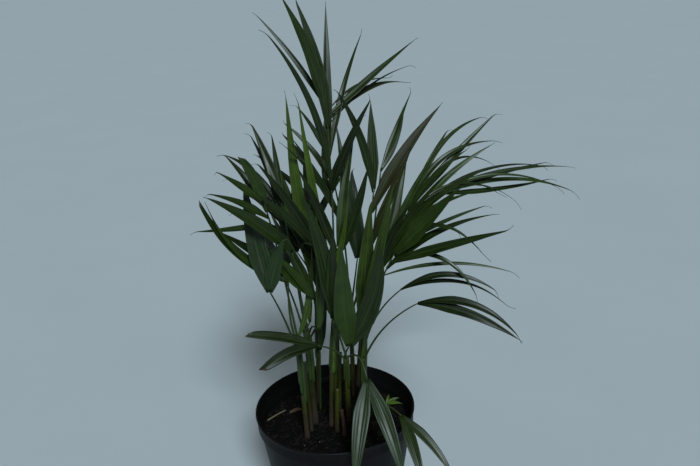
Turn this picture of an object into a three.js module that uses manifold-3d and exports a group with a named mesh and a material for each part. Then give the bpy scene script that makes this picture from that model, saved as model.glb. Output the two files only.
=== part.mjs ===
// A young clump of golden cane palm in a round nursery pot.
// Millimetres, +Z up, the origin at the centre of the pot's flat base, the plant's front towards -Y.
import * as THREE from "three";
import Module from "manifold-3d";

const wasm = await Module();
wasm.setup();

// Driving dimensions.
const potDiameter = 240;
const potHeight = 215;
const plantHeight = 805;
const plantSpread = 585;
const potWall = 1.8;
const caneDiameter = 7.8;
const stalkDiameter = 3.6;
const bladeThickness = 1.2;
const bladeFold = 0.2;
const stalkTaper = 0.45;
const caneTaper = 0.28;
const caneSwell = 0.35;
const caneSwellTop = 0.2;
const caneBow = 0.15;
const clearance = 0.4;

// The pot: a tapered cup with a turned-out rim band, and drain holes round the edge of its flat base.
const rimRadius = potDiameter / 2;
const baseRadius = rimRadius * 0.72;
const rimBand = potHeight * 0.11;
const rimStep = 5;
const floorThickness = potWall * 1.3;
const mixBelowRim = potHeight * 0.13;
const mixTop = potHeight - mixBelowRim;
const mixCrown = 4;
const drainHoles = 8;
const drainRadius = 7;
const drainInset = 8;
const drainSides = 12;
const potSegments = 44;
const cornerRound = 1.5;
const bandInset = 2;
const lip = 2.5;

// The plant is drawn for these sizes, and stretched to the driving ones.
const drawnHeight = 805;
const drawnSpread = 585;
const drawnMixTop = 187;
const drawnMixRadius = 112;
const upScale = plantHeight / drawnHeight;
const outScale = plantSpread / drawnSpread;
const mixRadius = outerRadius(mixTop) - potWall - clearance;
const footScale = mixRadius / drawnMixRadius;

// Loose scraps on the mix.
const stickDiameter = 2.6;
const scrapWidth = 9;
const scrapBulge = 3;

const weldStep = 0.001;
const up = new THREE.Vector3(0, 0, 1);
const group = new THREE.Group();

const looks = {
  potPlastic: { color: 0x1b1c1e, roughness: 0.42, metalness: 0 },
  mix: { color: 0x1b1613, roughness: 0.98, metalness: 0 },
  cane: { color: 0x3f4827, roughness: 0.6, metalness: 0 },
  deadSheath: { color: 0x4a2f22, roughness: 0.9, metalness: 0 },
  leafGreen: { color: 0x2e4423, roughness: 0.45, metalness: 0 },
  leafYoung: { color: 0x4d702c, roughness: 0.45, metalness: 0 },
  leafGrey: { color: 0x55674a, roughness: 0.5, metalness: 0 },
  deadStick: { color: 0x8a8168, roughness: 0.9, metalness: 0 },
  deadLeaf: { color: 0x6a4a34, roughness: 0.9, metalness: 0 },
};

function addMesh(name, geometry, look) {
  const mesh = new THREE.Mesh(geometry, new THREE.MeshStandardMaterial(looks[look]));
  mesh.name = name;
  group.add(mesh);
}

// A manifold-3d solid from a list of corner points and triangles.
function solidFrom(points, triangles) {
  const vertProperties = new Float32Array(points.flatMap((p) => [p.x, p.y, p.z]));
  const triVerts = new Uint32Array(triangles.flat());
  return new wasm.Manifold(new wasm.Mesh({ numProp: 3, vertProperties, triVerts }));
}

function geometryFrom(solid) {
  const mesh = solid.getMesh();
  const geometry = new THREE.BufferGeometry();
  geometry.setAttribute("position", new THREE.BufferAttribute(mesh.vertProperties, 3));
  geometry.setIndex(new THREE.BufferAttribute(mesh.triVerts, 1));
  return geometry;
}

// A solid without the sealed bubbles that can be left where several limbs cross inside each other.
function filled(solid) {
  return wasm.Manifold.compose(solid.decompose().filter((body) => body.volume() > 0));
}

// A closed solid skinned over rings that all have the same number of points.
function loft(rings) {
  const count = rings[0].length;
  const points = rings.flat();
  const triangles = [];
  for (let ring = 0; ring + 1 < rings.length; ring++) {
    for (let i = 0; i < count; i++) {
      const next = (i + 1) % count;
      const a = ring * count + i;
      const b = ring * count + next;
      triangles.push([a, b, b + count], [a, b + count, a + count]);
    }
  }
  const last = (rings.length - 1) * count;
  for (let i = 1; i + 1 < count; i++) {
    triangles.push([0, i + 1, i], [last, last + i, last + i + 1]);
  }
  return solidFrom(points, triangles);
}

function direction(heading, rise) {
  const h = THREE.MathUtils.degToRad(heading);
  const r = THREE.MathUtils.degToRad(rise);
  return new THREE.Vector3(Math.cos(r) * Math.cos(h), Math.cos(r) * Math.sin(h), Math.sin(r));
}

// Pot and potting mix.
function revolve(profile, segments) {
  const outline = profile.map(([r, z]) => new THREE.Vector2(r, z));
  return new THREE.LatheGeometry(outline, segments).rotateX(Math.PI / 2);
}

// A three.js shape as a solid, with the corners that meet welded into one.
function solidOfGeometry(geometry) {
  const position = geometry.getAttribute("position");
  const index = geometry.index.array;
  const points = [];
  const known = new Map();
  const corner = [];
  for (let i = 0; i < position.count; i++) {
    const p = new THREE.Vector3().fromBufferAttribute(position, i);
    const key = p.toArray().map((value) => Math.round(value / weldStep)).join(" ");
    if (!known.has(key)) {
      known.set(key, points.length);
      points.push(p);
    }
    corner.push(known.get(key));
  }
  const triangles = [];
  for (let i = 0; i < index.length; i += 3) {
    const [a, b, c] = [corner[index[i]], corner[index[i + 1]], corner[index[i + 2]]];
    if (a !== b && b !== c && c !== a) {
      triangles.push([a, b, c]);
    }
  }
  return solidFrom(points, triangles);
}

function outerRadius(z) {
  return baseRadius + ((rimRadius - rimStep - baseRadius) * z) / (potHeight - rimBand);
}

function buildPot() {
  const bandBottom = potHeight - rimBand;
  const bandRadius = rimRadius - bandInset;
  const profile = [
    [0, 0],
    [baseRadius - cornerRound, 0],
    [outerRadius(cornerRound), cornerRound],
    [outerRadius(bandBottom), bandBottom],
    [bandRadius, bandBottom + cornerRound],
    [bandRadius, potHeight - 2 * lip],
    [rimRadius, potHeight - 1.5 * lip],
    [rimRadius, potHeight - 0.5 * lip],
    [rimRadius - 0.5 * lip, potHeight],
    [rimRadius - 1.5 * lip, potHeight],
    [bandRadius - 1.5 * potWall, potHeight - lip],
    [outerRadius(bandBottom) - potWall, bandBottom],
    [outerRadius(floorThickness) - potWall, floorThickness],
    [0, floorThickness],
  ];
  let pot = solidOfGeometry(revolve(profile, potSegments));
  for (let i = 0; i < drainHoles; i++) {
    const angle = (360 / drainHoles) * (i + 0.5);
    const centre = direction(angle, 0).multiplyScalar(baseRadius - drainRadius - drainInset);
    const drill = new THREE.CylinderGeometry(drainRadius, drainRadius, 4 * floorThickness, drainSides);
    drill.rotateX(Math.PI / 2).translate(centre.x, centre.y, 0);
    pot = pot.subtract(solidOfGeometry(drill));
  }
  addMesh("pot", geometryFrom(pot), "potPlastic");
}

// The mix crowns in the middle: how far out each ring is, and how far it has sunk, as shares.
const mixRings = [
  [1, 1],
  [0.8, 0.25],
  [0.4, 0],
  [0, 0],
];

function buildMix() {
  const bottom = floorThickness + clearance;
  const edgeZ = mixTop - mixCrown;
  const profile = [
    [0, bottom],
    [outerRadius(bottom) - potWall - 2 * clearance, bottom],
    [outerRadius(edgeZ) - potWall - clearance, edgeZ],
  ];
  mixRings.slice(1).forEach(([out, sunk]) => profile.push([mixRadius * out, mixTop - mixCrown * sunk]));
  addMesh("potting_mix", geometryFrom(solidOfGeometry(revolve(profile, potSegments))), "mix");
}

// A point over the mix, by its share of the mix's radius and its heading.
function overMix(out, heading, lift) {
  const i = mixRings.findIndex(([ringOut]) => ringOut <= out);
  const [[outer, outerSunk], [inner, innerSunk]] = [mixRings[i - 1], mixRings[i]];
  const sunk = THREE.MathUtils.mapLinear(out, inner, outer, innerSunk, outerSunk);
  const point = direction(heading, 0).multiplyScalar(mixRadius * out);
  point.z = mixTop - mixCrown * sunk + lift;
  return point;
}

// A point of the drawn plant, moved to the driving sizes: heights are kept above the mix.
function place([x, y, z], spread = outScale) {
  const lift = (z - drawnMixTop) * ((plantHeight - mixTop) / (drawnHeight - drawnMixTop));
  return new THREE.Vector3(x * spread, y * spread, mixTop + lift);
}

// Canes: the foot's x and y, the top's x, y and z, and the thickness as a share of caneDiameter.
const canes = {
  cane_left_front: { foot: [-42, -40], top: [-46, -26, 318], girth: 1 },
  cane_left: { foot: [-31, -4], top: [-34, 6, 326], girth: 1.25 },
  cane_back_left: { foot: [-27, 50], top: [-20, 50, 345], girth: 0.9 },
  cane_middle_back: { foot: [2, 20], top: [8, 26, 340], girth: 1 },
  cane_middle: { foot: [-6, -13], top: [4, -2, 336], girth: 1.1 },
  cane_cut: { foot: [2, -26], top: [6, -32, 262], girth: 0.95 },
  cane_front: { foot: [20, -2], top: [21, -34, 312], girth: 1.05 },
  cane_back: { foot: [29, 66], top: [30, 60, 335], girth: 1 },
  cane_back_right: { foot: [36, 95], top: [52, 88, 330], girth: 0.95 },
  cane_right: { foot: [43, 30], top: [49, 20, 318], girth: 1.05 },
  cane_right_front: { foot: [45, 2], top: [46, -8, 296], girth: 1.05 },
  cane_thin_left: { foot: [-36, -24], top: [-40, -12, 298], girth: 0.7 },
  cane_thin_middle: { foot: [6, 4], top: [13, -4, 306], girth: 0.7 },
  cane_short: { foot: [46, -30], top: [52, -36, 236], girth: 0.75 },
  dead_sheath: { foot: [13, -38], top: [11, -44, 234], girth: 0.75, look: "deadSheath" },
};

// Leaves. A leaf's stalk runs from its cane's top to "end" and "blades" sit on it:
// [share of the stalk, heading, rise, length, arch, width, sideways swing, cut tip]
// Heading is degrees round from +X, rise is degrees up, and arch is how far the middle stands over the chord.
const leaves = [
  {
    name: "leaf_top_frond", cane: "cane_middle", end: [-3, 48, 653], arch: 4, look: "leafGreen",
    blades: [
      [0.98, 201, 71, 174, 8, 19],
      [0.92, 155, 77, 184, 9, 18],
      [1, 154, 51, 171, 7, 8],
      [0.66, 218, 67, 250, 22, 11],
      [0.84, 85, 73, 202, 4, 13],
      [0.8, 55, 59, 190, 10, 10],
      [0.97, 32, 30, 186, 2, 12],
      [0.95, 42, 9, 174, 21, 12],
      [0.99, 36, 14, 125, 16, 4],
      [0.93, 40, 20, 185, 14, 4],
      [0.64, 322, 61, 166, 5, 14],
    ],
  },
  {
    name: "leaf_upright_pair", cane: "cane_back", end: [72, 30, 545], arch: -6, look: "leafGreen",
    blades: [
      [0.99, 88, 76, 125, 2, 17],
      [0.97, 221, 68, 168, 11, 13],
    ],
  },
  {
    name: "leaf_bright_tall", cane: "cane_middle", end: [2, 0, 372], arch: 0, look: "leafYoung",
    blades: [
      [1, 180, 82, 315, -5, 15],
      [0.95, 114, 83, 325, -5, 22],
    ],
  },
  {
    name: "leaf_left_upright", cane: "cane_left", end: [-46, -46, 553], arch: 8, look: "leafGreen",
    blades: [
      [1, 102, 48, 107, 3, 9],
      [0.97, 136, 61, 122, 3, 14],
      [0.9, 124, 52, 130, 10, 9],
      [0.86, 139, 32, 145, 22, 10],
    ],
  },
  {
    name: "leaf_left_frond", cane: "cane_left_front", end: [-58, -70, 572], arch: 16, look: "leafGreen",
    blades: [
      [1, 219, 40, 87, 1, 12],
      [0.97, 150, 47, 90, 4, 12],
      [0.94, 236, 65, 86, 4, 14, 0, 1],
      [0.9, 199, 29, 92, 4, 12],
      [0.86, 172, -9, 112, -4, 9],
    ],
  },
  {
    name: "leaf_broad_left", cane: "cane_left", end: [-37, -40, 486], arch: 6, look: "leafGreen",
    blades: [
      [1, 214, 40, 168, 5, 20],
      [0.6, 197, 43, 145, 4, 16],
    ],
  },
  {
    name: "leaf_hooked_left", cane: "cane_left_front", end: [-36, -60, 450], arch: 8, look: "leafGreen",
    blades: [
      [1, 195, 51, 158, -14, 13, 0, 1],
      [0.97, 203, 56, 163, -16, 7],
    ],
  },
  {
    name: "leaf_pleated_left", cane: "cane_left_front", end: [-72, -90, 449], arch: 4, look: "leafGrey",
    blades: [
      [1, 123, 76, 150, -3, 27],
      [1, 338, 71, 84, 2, 23],
    ],
  },
  {
    name: "leaf_pleated_behind", cane: "cane_left", end: [-66, 40, 415], arch: 6, look: "leafGrey",
    blades: [
      [1, 141, 60, 100, -2, 22],
      [1, 69, 56, 95, -4, 20],
    ],
  },
  {
    name: "leaf_crossing_frond", cane: "cane_back", end: [8, 62, 588], arch: 8, look: "leafGreen",
    blades: [
      [0.6, 220, 61, 163, 4, 11],
      [0.8, 155, 49, 125, 10, 10],
      [1, 127, 40, 98, 5, 8],
      [0.55, 224, 56, 182, 13, 8],
    ],
  },
  {
    name: "leaf_centre_fan", cane: "cane_front", end: [28, -50, 336], arch: 0, look: "leafGreen",
    blades: [
      [1, 262, 72, 192, -2, 31, 5],
      [1, 311, 70, 196, -9, 29, -11],
    ],
  },
  {
    name: "leaf_bright_blade", cane: "cane_right", end: [46, 0, 345], arch: 0, look: "leafYoung",
    blades: [
      [1, 318, 74, 245, -1, 18],
      [1, 40, 82, 195, 1, 26],
    ],
  },
  {
    name: "leaf_dark_fan", cane: "cane_back", end: [44, 50, 432], arch: 0, look: "leafGrey",
    blades: [
      [1, 114, 77, 144, 0, 24],
      [1, 93, 68, 136, 2, 26],
    ],
  },
  {
    name: "leaf_bronze", cane: "cane_right", end: [66, 40, 506], arch: -4, look: "leafGreen",
    blades: [
      [1, 24, 50, 188, 9, 20],
      [0.72, 343, 66, 171, 0, 15],
    ],
  },
  {
    name: "leaf_forked", cane: "cane_back_right", end: [84, 50, 562], arch: 0, look: "leafGreen",
    blades: [
      [1, 54, 48, 138, 2, 9],
      [1, 33, 62, 97, -8, 8],
    ],
  },
  {
    name: "leaf_right_upper_frond", cane: "cane_right", end: [132, 62, 512], arch: 14, look: "leafGreen",
    blades: [
      [1, 24, 39, 185, 4, 12],
      [0.98, 39, 33, 188, 33, 8],
      [0.96, 31, 6, 175, 45, 6],
      [0.92, 3, 45, 129, 10, 11],
      [0.9, 19, 30, 177, 37, 10],
      [0.86, 20, 2, 168, 40, 6],
    ],
  },
  {
    name: "leaf_right_long_frond", cane: "cane_back_right", end: [174, 112, 508], arch: 30,
    look: "leafGreen",
    blades: [
      [1, 20, 6, 205, 4, 9],
      [0.98, 21, -2, 222, -6, 11],
      [0.94, 18, 3, 256, 18, 10],
      [0.88, 15, -5, 274, 32, 8],
      [0.9, 24, 4, 232, 24, 6],
      [0.84, 9, 0, 238, 38, 6],
      [0.8, 17, -7, 190, 38, 6],
    ],
  },
  {
    name: "leaf_low_right_frond", cane: "cane_right_front", end: [100, 0, 470], arch: 10, look: "leafGreen",
    blades: [
      [1, 328, 0, 133, 40, 7],
      [1, 355, 25, 140, 5, 7],
      [0.97, 330, 20, 105, 25, 8],
      [0.92, 321, 48, 164, -1, 24],
      [0.85, 331, 23, 192, 2, 15],
      [0.8, 345, 30, 177, 15, 14],
      [0.74, 354, 0, 189, 18, 6],
      [0.92, 335, -24, 135, 32, 8],
    ],
  },
  {
    name: "leaf_arched_pair", cane: "cane_right_front", end: [101, -20, 410], arch: 12, look: "leafGreen",
    blades: [
      [1, 347, 0, 139, 27, 10],
      [1, 356, -13, 160, 29, 7],
    ],
  },
  {
    name: "leaf_lower_pair", cane: "cane_right_front", end: [123, -50, 403], arch: 10, look: "leafGreen",
    blades: [
      [1, 335, -13, 147, 12, 15],
      [1, 339, -15, 147, 27, 13],
    ],
  },
  {
    name: "leaf_small_cut", cane: "cane_front", end: [-16, -60, 350], arch: 4, look: "leafGreen",
    blades: [
      [1, 198, 22, 103, 4, 14, 0, 1],
      [1, 214, -3, 88, 8, 16, 0, 1],
    ],
  },
  {
    name: "leaf_seedling", foot: [-24, 24], end: [-18, 20, 298], arch: 0, look: "leafYoung",
    blades: [
      [1, 268, 84, 93, 0, 11],
      [1, 2, 80, 84, 0, 11],
    ],
  },
  {
    name: "leaf_spear_left", cane: "cane_left_front", end: [-44, -30, 346], arch: 0, look: "leafYoung",
    blades: [[1, 3, 86, 145, 0, 10]],
  },
  {
    name: "leaf_spear_short", cane: "cane_left", end: [-26, -4, 348], arch: 0, look: "leafYoung",
    blades: [[1, 2, 84, 90, 0, 11]],
  },
  {
    name: "leaf_spear_middle", cane: "cane_middle_back", end: [-2, 6, 400], arch: 0, look: "leafYoung",
    blades: [[1, 340, 80, 130, 0, 10]],
  },
  {
    name: "leaf_hanging_large", cane: "cane_front", end: [42, -84, 303], arch: 16, look: "leafGrey",
    blades: [
      [1, 254, -54, 150, 12, 24],
      [1, 298, -52, 155, 12, 22],
    ],
  },
  {
    name: "leaf_hanging_small", cane: "cane_short", end: [94, -88, 250], arch: 8, look: "leafGreen",
    blades: [
      [1, 288, -40, 110, 8, 17],
      [1, 318, -36, 115, 10, 14],
    ],
  },
  {
    name: "leaf_centre_left", cane: "cane_middle_back", end: [-14, -20, 470], arch: 4, look: "leafGreen",
    blades: [
      [1, 205, 62, 170, 6, 15],
      [0.95, 225, 50, 160, 8, 15],
      [0.9, 188, 45, 150, 8, 13],
      [0.8, 240, 35, 120, 8, 13],
      [0.75, 165, 62, 150, 5, 13],
    ],
  },
  {
    name: "leaf_left_inner", cane: "cane_left", end: [-34, -34, 410], arch: 2, look: "leafGreen",
    blades: [
      [1, 200, 60, 150, 5, 17],
      [1, 150, 66, 140, 4, 15],
      [0.9, 215, 58, 120, 6, 14],
    ],
  },
  {
    name: "leaf_centre_upright", cane: "cane_middle", end: [10, 8, 468], arch: 2, look: "leafGreen",
    blades: [
      [1, 110, 72, 180, 5, 15],
      [1, 60, 68, 170, 6, 15],
      [0.9, 300, 70, 160, 6, 15],
      [0.85, 230, 66, 170, 6, 14],
    ],
  },
  {
    name: "leaf_centre_right", cane: "cane_right", end: [80, 10, 440], arch: 4, look: "leafGreen",
    blades: [
      [1, 60, 65, 180, 6, 14],
      [1, 20, 60, 190, 8, 12],
      [0.95, 340, 55, 180, 8, 12],
      [0.9, 0, 45, 170, 10, 14],
      [0.8, 315, 60, 150, 6, 15],
    ],
  },
  {
    name: "leaf_right_middle", cane: "cane_back_right", end: [112, 64, 470], arch: 12, look: "leafGreen",
    blades: [
      [1, 50, 46, 180, 12, 12],
      [1, 15, 38, 185, 14, 12],
      [0.95, 350, 38, 170, 12, 10],
      [0.85, 335, 35, 150, 12, 10],
      [0.8, 70, 50, 150, 8, 12],
    ],
  },
  {
    name: "leaf_back_upright", cane: "cane_back_left", end: [0, 92, 520], arch: 6, look: "leafGreen",
    blades: [
      [1, 80, 68, 150, 5, 13],
      [1, 140, 45, 120, 6, 13],
      [0.9, 30, 60, 150, 6, 13],
      [0.8, 170, 45, 140, 8, 13],
    ],
  },
  {
    name: "leaf_left_back", cane: "cane_back_left", end: [-50, 70, 470], arch: 10, look: "leafGreen",
    blades: [
      [1, 148, 50, 130, 6, 13],
      [1, 182, 45, 130, 6, 13],
      [0.9, 122, 54, 130, 6, 13],
      [0.8, 190, 34, 120, 8, 13],
    ],
  },
  {
    name: "leaf_front_centre", cane: "cane_front", end: [10, -56, 392], arch: 2, look: "leafGreen",
    blades: [
      [1, 215, 76, 195, 4, 24],
      [1, 285, 75, 150, 4, 17],
    ],
  },
  {
    name: "leaf_left_low", cane: "cane_left", end: [-16, -40, 338], arch: 2, look: "leafGreen",
    blades: [
      [1, 140, 77, 195, 6, 15],
      [1, 100, 82, 180, 4, 14],
    ],
  },
  {
    name: "leaf_left_middle", cane: "cane_back_left", end: [-40, 20, 478], arch: 6, look: "leafGreen",
    blades: [
      [1, 175, 70, 135, 6, 16],
      [0.95, 150, 76, 125, 4, 15],
      [0.9, 110, 80, 115, 4, 14],
      [0.9, 190, 58, 115, 6, 14],
    ],
  },
  {
    name: "weed_seedling", foot: [78, 24], end: [80, 22, 196], arch: 0, look: "leafYoung",
    blades: [
      [1, 10, 22, 22, 3, 6],
      [1, 345, 8, 24, 3, 6],
      [1, 75, 30, 18, 2, 5],
    ],
  },
  {
    name: "leaf_back_low", cane: "cane_middle_back", end: [-46, 92, 430], arch: 8, look: "leafGreen",
    blades: [
      [1, 112, 15, 150, 20, 20],
      [1, 78, 20, 150, 20, 20],
    ],
  },
  {
    name: "leaf_back_frond", cane: "cane_back_left", end: [-22, 104, 470], arch: 6, look: "leafGreen",
    blades: [
      [1, 98, 42, 125, 8, 14],
      [0.9, 60, 30, 130, 12, 12],
      [0.86, 142, 30, 130, 12, 12],
      [0.7, 100, 8, 125, 16, 14],
    ],
  },
];

// A limb is one stalk or blade: a bent line with its half width, its half depth and the way it faces.
const bladeSteps = 5;
const stalkSteps = 5;
const stalkSides = 5;
const caneSteps = 5;
const caneSides = 8;
const knuckleTaper = 0.6;
const settleRounds = 300;
const settleGap = 0.8;
const settledShort = 0.05;
const leastGive = 0.01;
const boxMargin = 9;
const farApart = 40;
const rimSteps = 24;
const rimInset = 3;
const rimReach = 5;

function bentLine(from, to, arch, swing, heading, rise) {
  const over = direction(heading, rise + 90).multiplyScalar(2 * arch);
  const chord = to.clone().sub(from);
  const aside = chord.clone().normalize().cross(direction(heading, rise + 90));
  const control = from.clone().add(to).multiplyScalar(0.5).add(over).addScaledVector(aside, 2 * swing);
  return new THREE.QuadraticBezierCurve3(from, control, to);
}

function headingOf(vector) {
  return THREE.MathUtils.radToDeg(Math.atan2(vector.y, vector.x));
}

function riseOf(vector) {
  return THREE.MathUtils.radToDeg(Math.asin(vector.z / vector.length()));
}

// Half width of a blade along its length: narrow at the stalk, then widest, then pointed or cut.
function bladeHalfWidth(share, width, isCut) {
  const opening = 0.3 + 0.7 * Math.min(1, share / 0.3);
  const closing = isCut ? Math.sqrt(1 - 0.75 * share ** 4) : 1 - share ** 2.2;
  return Math.max(0.35, (width / 2) * opening * closing);
}

// The face of every blade leans to the light, which comes from above and in front.
const light = new THREE.Vector3(0, -0.7, 0.7).normalize();

function makeStalk(leaf, slot, slotCount, turn) {
  const around = turn + (360 / slotCount) * slot;
  const ring = slotCount > 1 ? (stalkDiameter + 2 * clearance) / (2 * Math.sin(Math.PI / slotCount)) : 0;
  const base = leaf.cane ? canes[leaf.cane].top : [...leaf.foot, drawnMixTop];
  const spread = leaf.cane ? outScale : footScale;
  const from = place(base, spread).addScaledVector(direction(around, 0), ring);
  from.z += clearance + stalkDiameter / 2;
  const to = place(leaf.end, spread);
  const chord = to.clone().sub(from);
  const curve = bentLine(from, to, leaf.arch, 0, headingOf(chord), riseOf(chord));
  const swing = new THREE.Vector3();
  return { leaf: leaf.name, kind: "stalk", curve, side: new THREE.Vector3(1, 0, 0), swing };
}

function makeBlade(leaf, stalk, row) {
  const [at, heading, rise, length, arch, width, aside = 0, isCut = 0] = row;
  const from = stalk.curve.getPoint(at);
  const to = from.clone().addScaledVector(direction(heading, rise), length);
  to.x = from.x + (to.x - from.x) * outScale;
  to.y = from.y + (to.y - from.y) * outScale;
  to.z = from.z + (to.z - from.z) * upScale;
  const curve = bentLine(from, to, arch, aside, heading, rise);
  const side = light.clone().cross(to.clone().sub(from)).normalize();
  const swing = new THREE.Vector3();
  return { leaf: leaf.name, kind: "blade", curve, side, at, width, isCut, stalk, swing };
}

function halfSizes(limb, share) {
  if (limb.kind === "blade") {
    const half = bladeHalfWidth(share, limb.width, limb.isCut);
    return [half, bladeFold * half + bladeThickness / 2];
  }
  const thin = limb.radius ?? (stalkDiameter / 2) * (1 - stalkTaper * share);
  return [thin, thin];
}

// How far a place along a limb follows its swing: the base stays, and most of the limb moves as one.
function give(share) {
  return 1 - (1 - share) ** 3;
}

function pointOn(line, share) {
  const step = Math.min(line.length - 2, Math.floor(share * (line.length - 1)));
  return line[step].centre.clone().lerp(line[step + 1].centre, share * (line.length - 1) - step);
}

// The limb's centre line with its swing.
function stations(limb) {
  const carried = new THREE.Vector3();
  if (limb.stalk) {
    carried.copy(pointOn(stations(limb.stalk), limb.at)).sub(limb.curve.v0);
  }
  const list = [];
  const steps = limb.kind === "blade" ? bladeSteps : stalkSteps;
  for (let i = 0; i <= steps; i++) {
    const share = i / steps;
    const centre = limb.curve.getPoint(share).add(carried).addScaledVector(limb.swing, give(share));
    list.push({ share, centre });
  }
  return list;
}

// Where two straight pieces pass closest, as a share along each.
function closestShares(p1, q1, p2, q2) {
  const d1 = q1.clone().sub(p1);
  const d2 = q2.clone().sub(p2);
  const r = p1.clone().sub(p2);
  const a = d1.dot(d1);
  const e = d2.dot(d2);
  const b = d1.dot(d2);
  const c = d1.dot(r);
  const f = d2.dot(r);
  const denominator = a * e - b * b;
  const clamp = (value) => Math.min(1, Math.max(0, value));
  let s = denominator > 0 ? clamp((b * f - c * e) / denominator) : 0;
  let t = (b * s + f) / e;
  if (t < 0 || t > 1) {
    t = clamp(t);
    s = clamp((b * t - c) / a);
  }
  return [s, t];
}

// How far a limb's own thickness reaches towards another limb.
function reachAlong(limb, share, tangent, towards) {
  const [halfWidth, halfDepth] = halfSizes(limb, share);
  if (limb.kind !== "blade") {
    return halfWidth;
  }
  const across = Math.abs(towards.dot(limb.side)) * halfWidth;
  const through = Math.abs(towards.dot(tangent.clone().cross(limb.side))) * halfDepth;
  return across + through;
}

// Pushes limbs of different leaves apart, round by round, until they clear each other, canes and rim.
function settle(limbs, fixed, rounds) {
  const all = [...limbs, ...fixed];
  for (let round = 0; round < rounds; round++) {
    const lines = all.map((limb) => limb.points ?? stations(limb));
    const boxes = lines.map((line) => {
      const box = new THREE.Box3().setFromPoints(line.map((station) => station.centre));
      return box.expandByScalar(boxMargin);
    });
    let worst = 0;
    limbs.forEach((first, i) => {
      for (let j = i + 1; j < all.length; j++) {
        const second = all[j];
        if (first.leaf === second.leaf || !boxes[i].intersectsBox(boxes[j])) {
          continue;
        }
        for (let m = 0; m + 1 < lines[i].length; m++) {
          for (let n = 0; n + 1 < lines[j].length; n++) {
            const [a, b, c, d] = [lines[i][m], lines[i][m + 1], lines[j][n], lines[j][n + 1]];
            const [s, t] = closestShares(a.centre, b.centre, c.centre, d.centre);
            const p = a.centre.clone().lerp(b.centre, s);
            const q = c.centre.clone().lerp(d.centre, t);
            const away = p.clone().sub(q);
            const distance = away.length();
            if (distance > farApart) {
              continue;
            }
            away.normalize();
            const shareP = a.share + (b.share - a.share) * s;
            const shareQ = c.share + (d.share - c.share) * t;
            const weightP = give(shareP);
            const alongP = b.centre.clone().sub(a.centre).normalize();
            const alongQ = d.centre.clone().sub(c.centre).normalize();
            const reachP = reachAlong(first, shareP, alongP, away);
            const reachQ = reachAlong(second, shareQ, alongQ, away);
            const short = reachP + reachQ + settleGap - distance;
            const weightQ = second.points ? 0 : give(shareQ);
            const total = weightP ** 2 + weightQ ** 2;
            if (short <= 0 || total < leastGive) {
              continue;
            }
            worst = Math.max(worst, short);
            first.swing.addScaledVector(away, (0.5 * short * weightP) / total);
            if (!second.points) {
              second.swing.addScaledVector(away, (-0.5 * short * weightQ) / total);
            }
          }
        }
      }
    });
    if (worst < settledShort) {
      return;
    }
  }
}

function ringAt(centre, tangent, radius, sides) {
  const across = new THREE.Vector3(1, 0, 0).cross(tangent).normalize();
  const over = tangent.clone().cross(across);
  const ring = [];
  for (let i = 0; i < sides; i++) {
    const angle = (2 * Math.PI * i) / sides;
    const corner = centre.clone().addScaledVector(across, radius * Math.cos(angle));
    ring.push(corner.addScaledVector(over, radius * Math.sin(angle)));
  }
  return ring;
}

function tangentAt(line, i) {
  const before = line[Math.max(0, i - 1)].centre;
  const after = line[Math.min(line.length - 1, i + 1)].centre;
  return after.clone().sub(before).normalize();
}

// A stalk ends in a small knuckle past its last blades, so that they grow out of solid stalk.
function stalkSolid(limb) {
  const line = stations(limb);
  const rings = line.map(({ share, centre }, i) => {
    return ringAt(centre, tangentAt(line, i), halfSizes(limb, share)[0], stalkSides);
  });
  const end = line.at(-1);
  const along = tangentAt(line, line.length - 1);
  const [radius] = halfSizes(limb, end.share);
  const knuckle = end.centre.clone().addScaledVector(along, radius);
  rings.push(ringAt(knuckle, along, radius * knuckleTaper, stalkSides));
  return loft(rings);
}

function bladeSolid(limb) {
  const line = stations(limb);
  const rings = line.map(({ share, centre }, i) => {
    const [half] = halfSizes(limb, share);
    const over = tangentAt(line, i).cross(limb.side).normalize();
    const lift = bladeFold * half;
    const left = centre.clone().addScaledVector(limb.side, half).addScaledVector(over, lift);
    const right = centre.clone().addScaledVector(limb.side, -half).addScaledVector(over, lift);
    const crease = centre.clone().addScaledVector(over, -lift + bladeThickness / 2);
    const keel = centre.clone().addScaledVector(over, -lift - bladeThickness / 2);
    return [left, crease, right, keel];
  });
  return loft(rings);
}

function caneLine(cane) {
  const top = place(cane.top);
  const foot = new THREE.Vector3(cane.foot[0] * footScale, cane.foot[1] * footScale, mixTop + clearance);
  const middle = foot.clone().lerp(top, 0.5);
  middle.x += (foot.x - top.x) * caneBow;
  const curve = new THREE.QuadraticBezierCurve3(foot, middle, top);
  return curve.getPoints(caneSteps).map((centre, i) => ({ share: i / caneSteps, centre }));
}

// A cane swells a little at its foot and thins towards its top.
function caneRadius(cane, share) {
  const swell = caneSwell * Math.max(0, caneSwellTop - share);
  return (caneDiameter / 2) * cane.girth * (1 - caneTaper * share ** 2 + swell);
}

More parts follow.
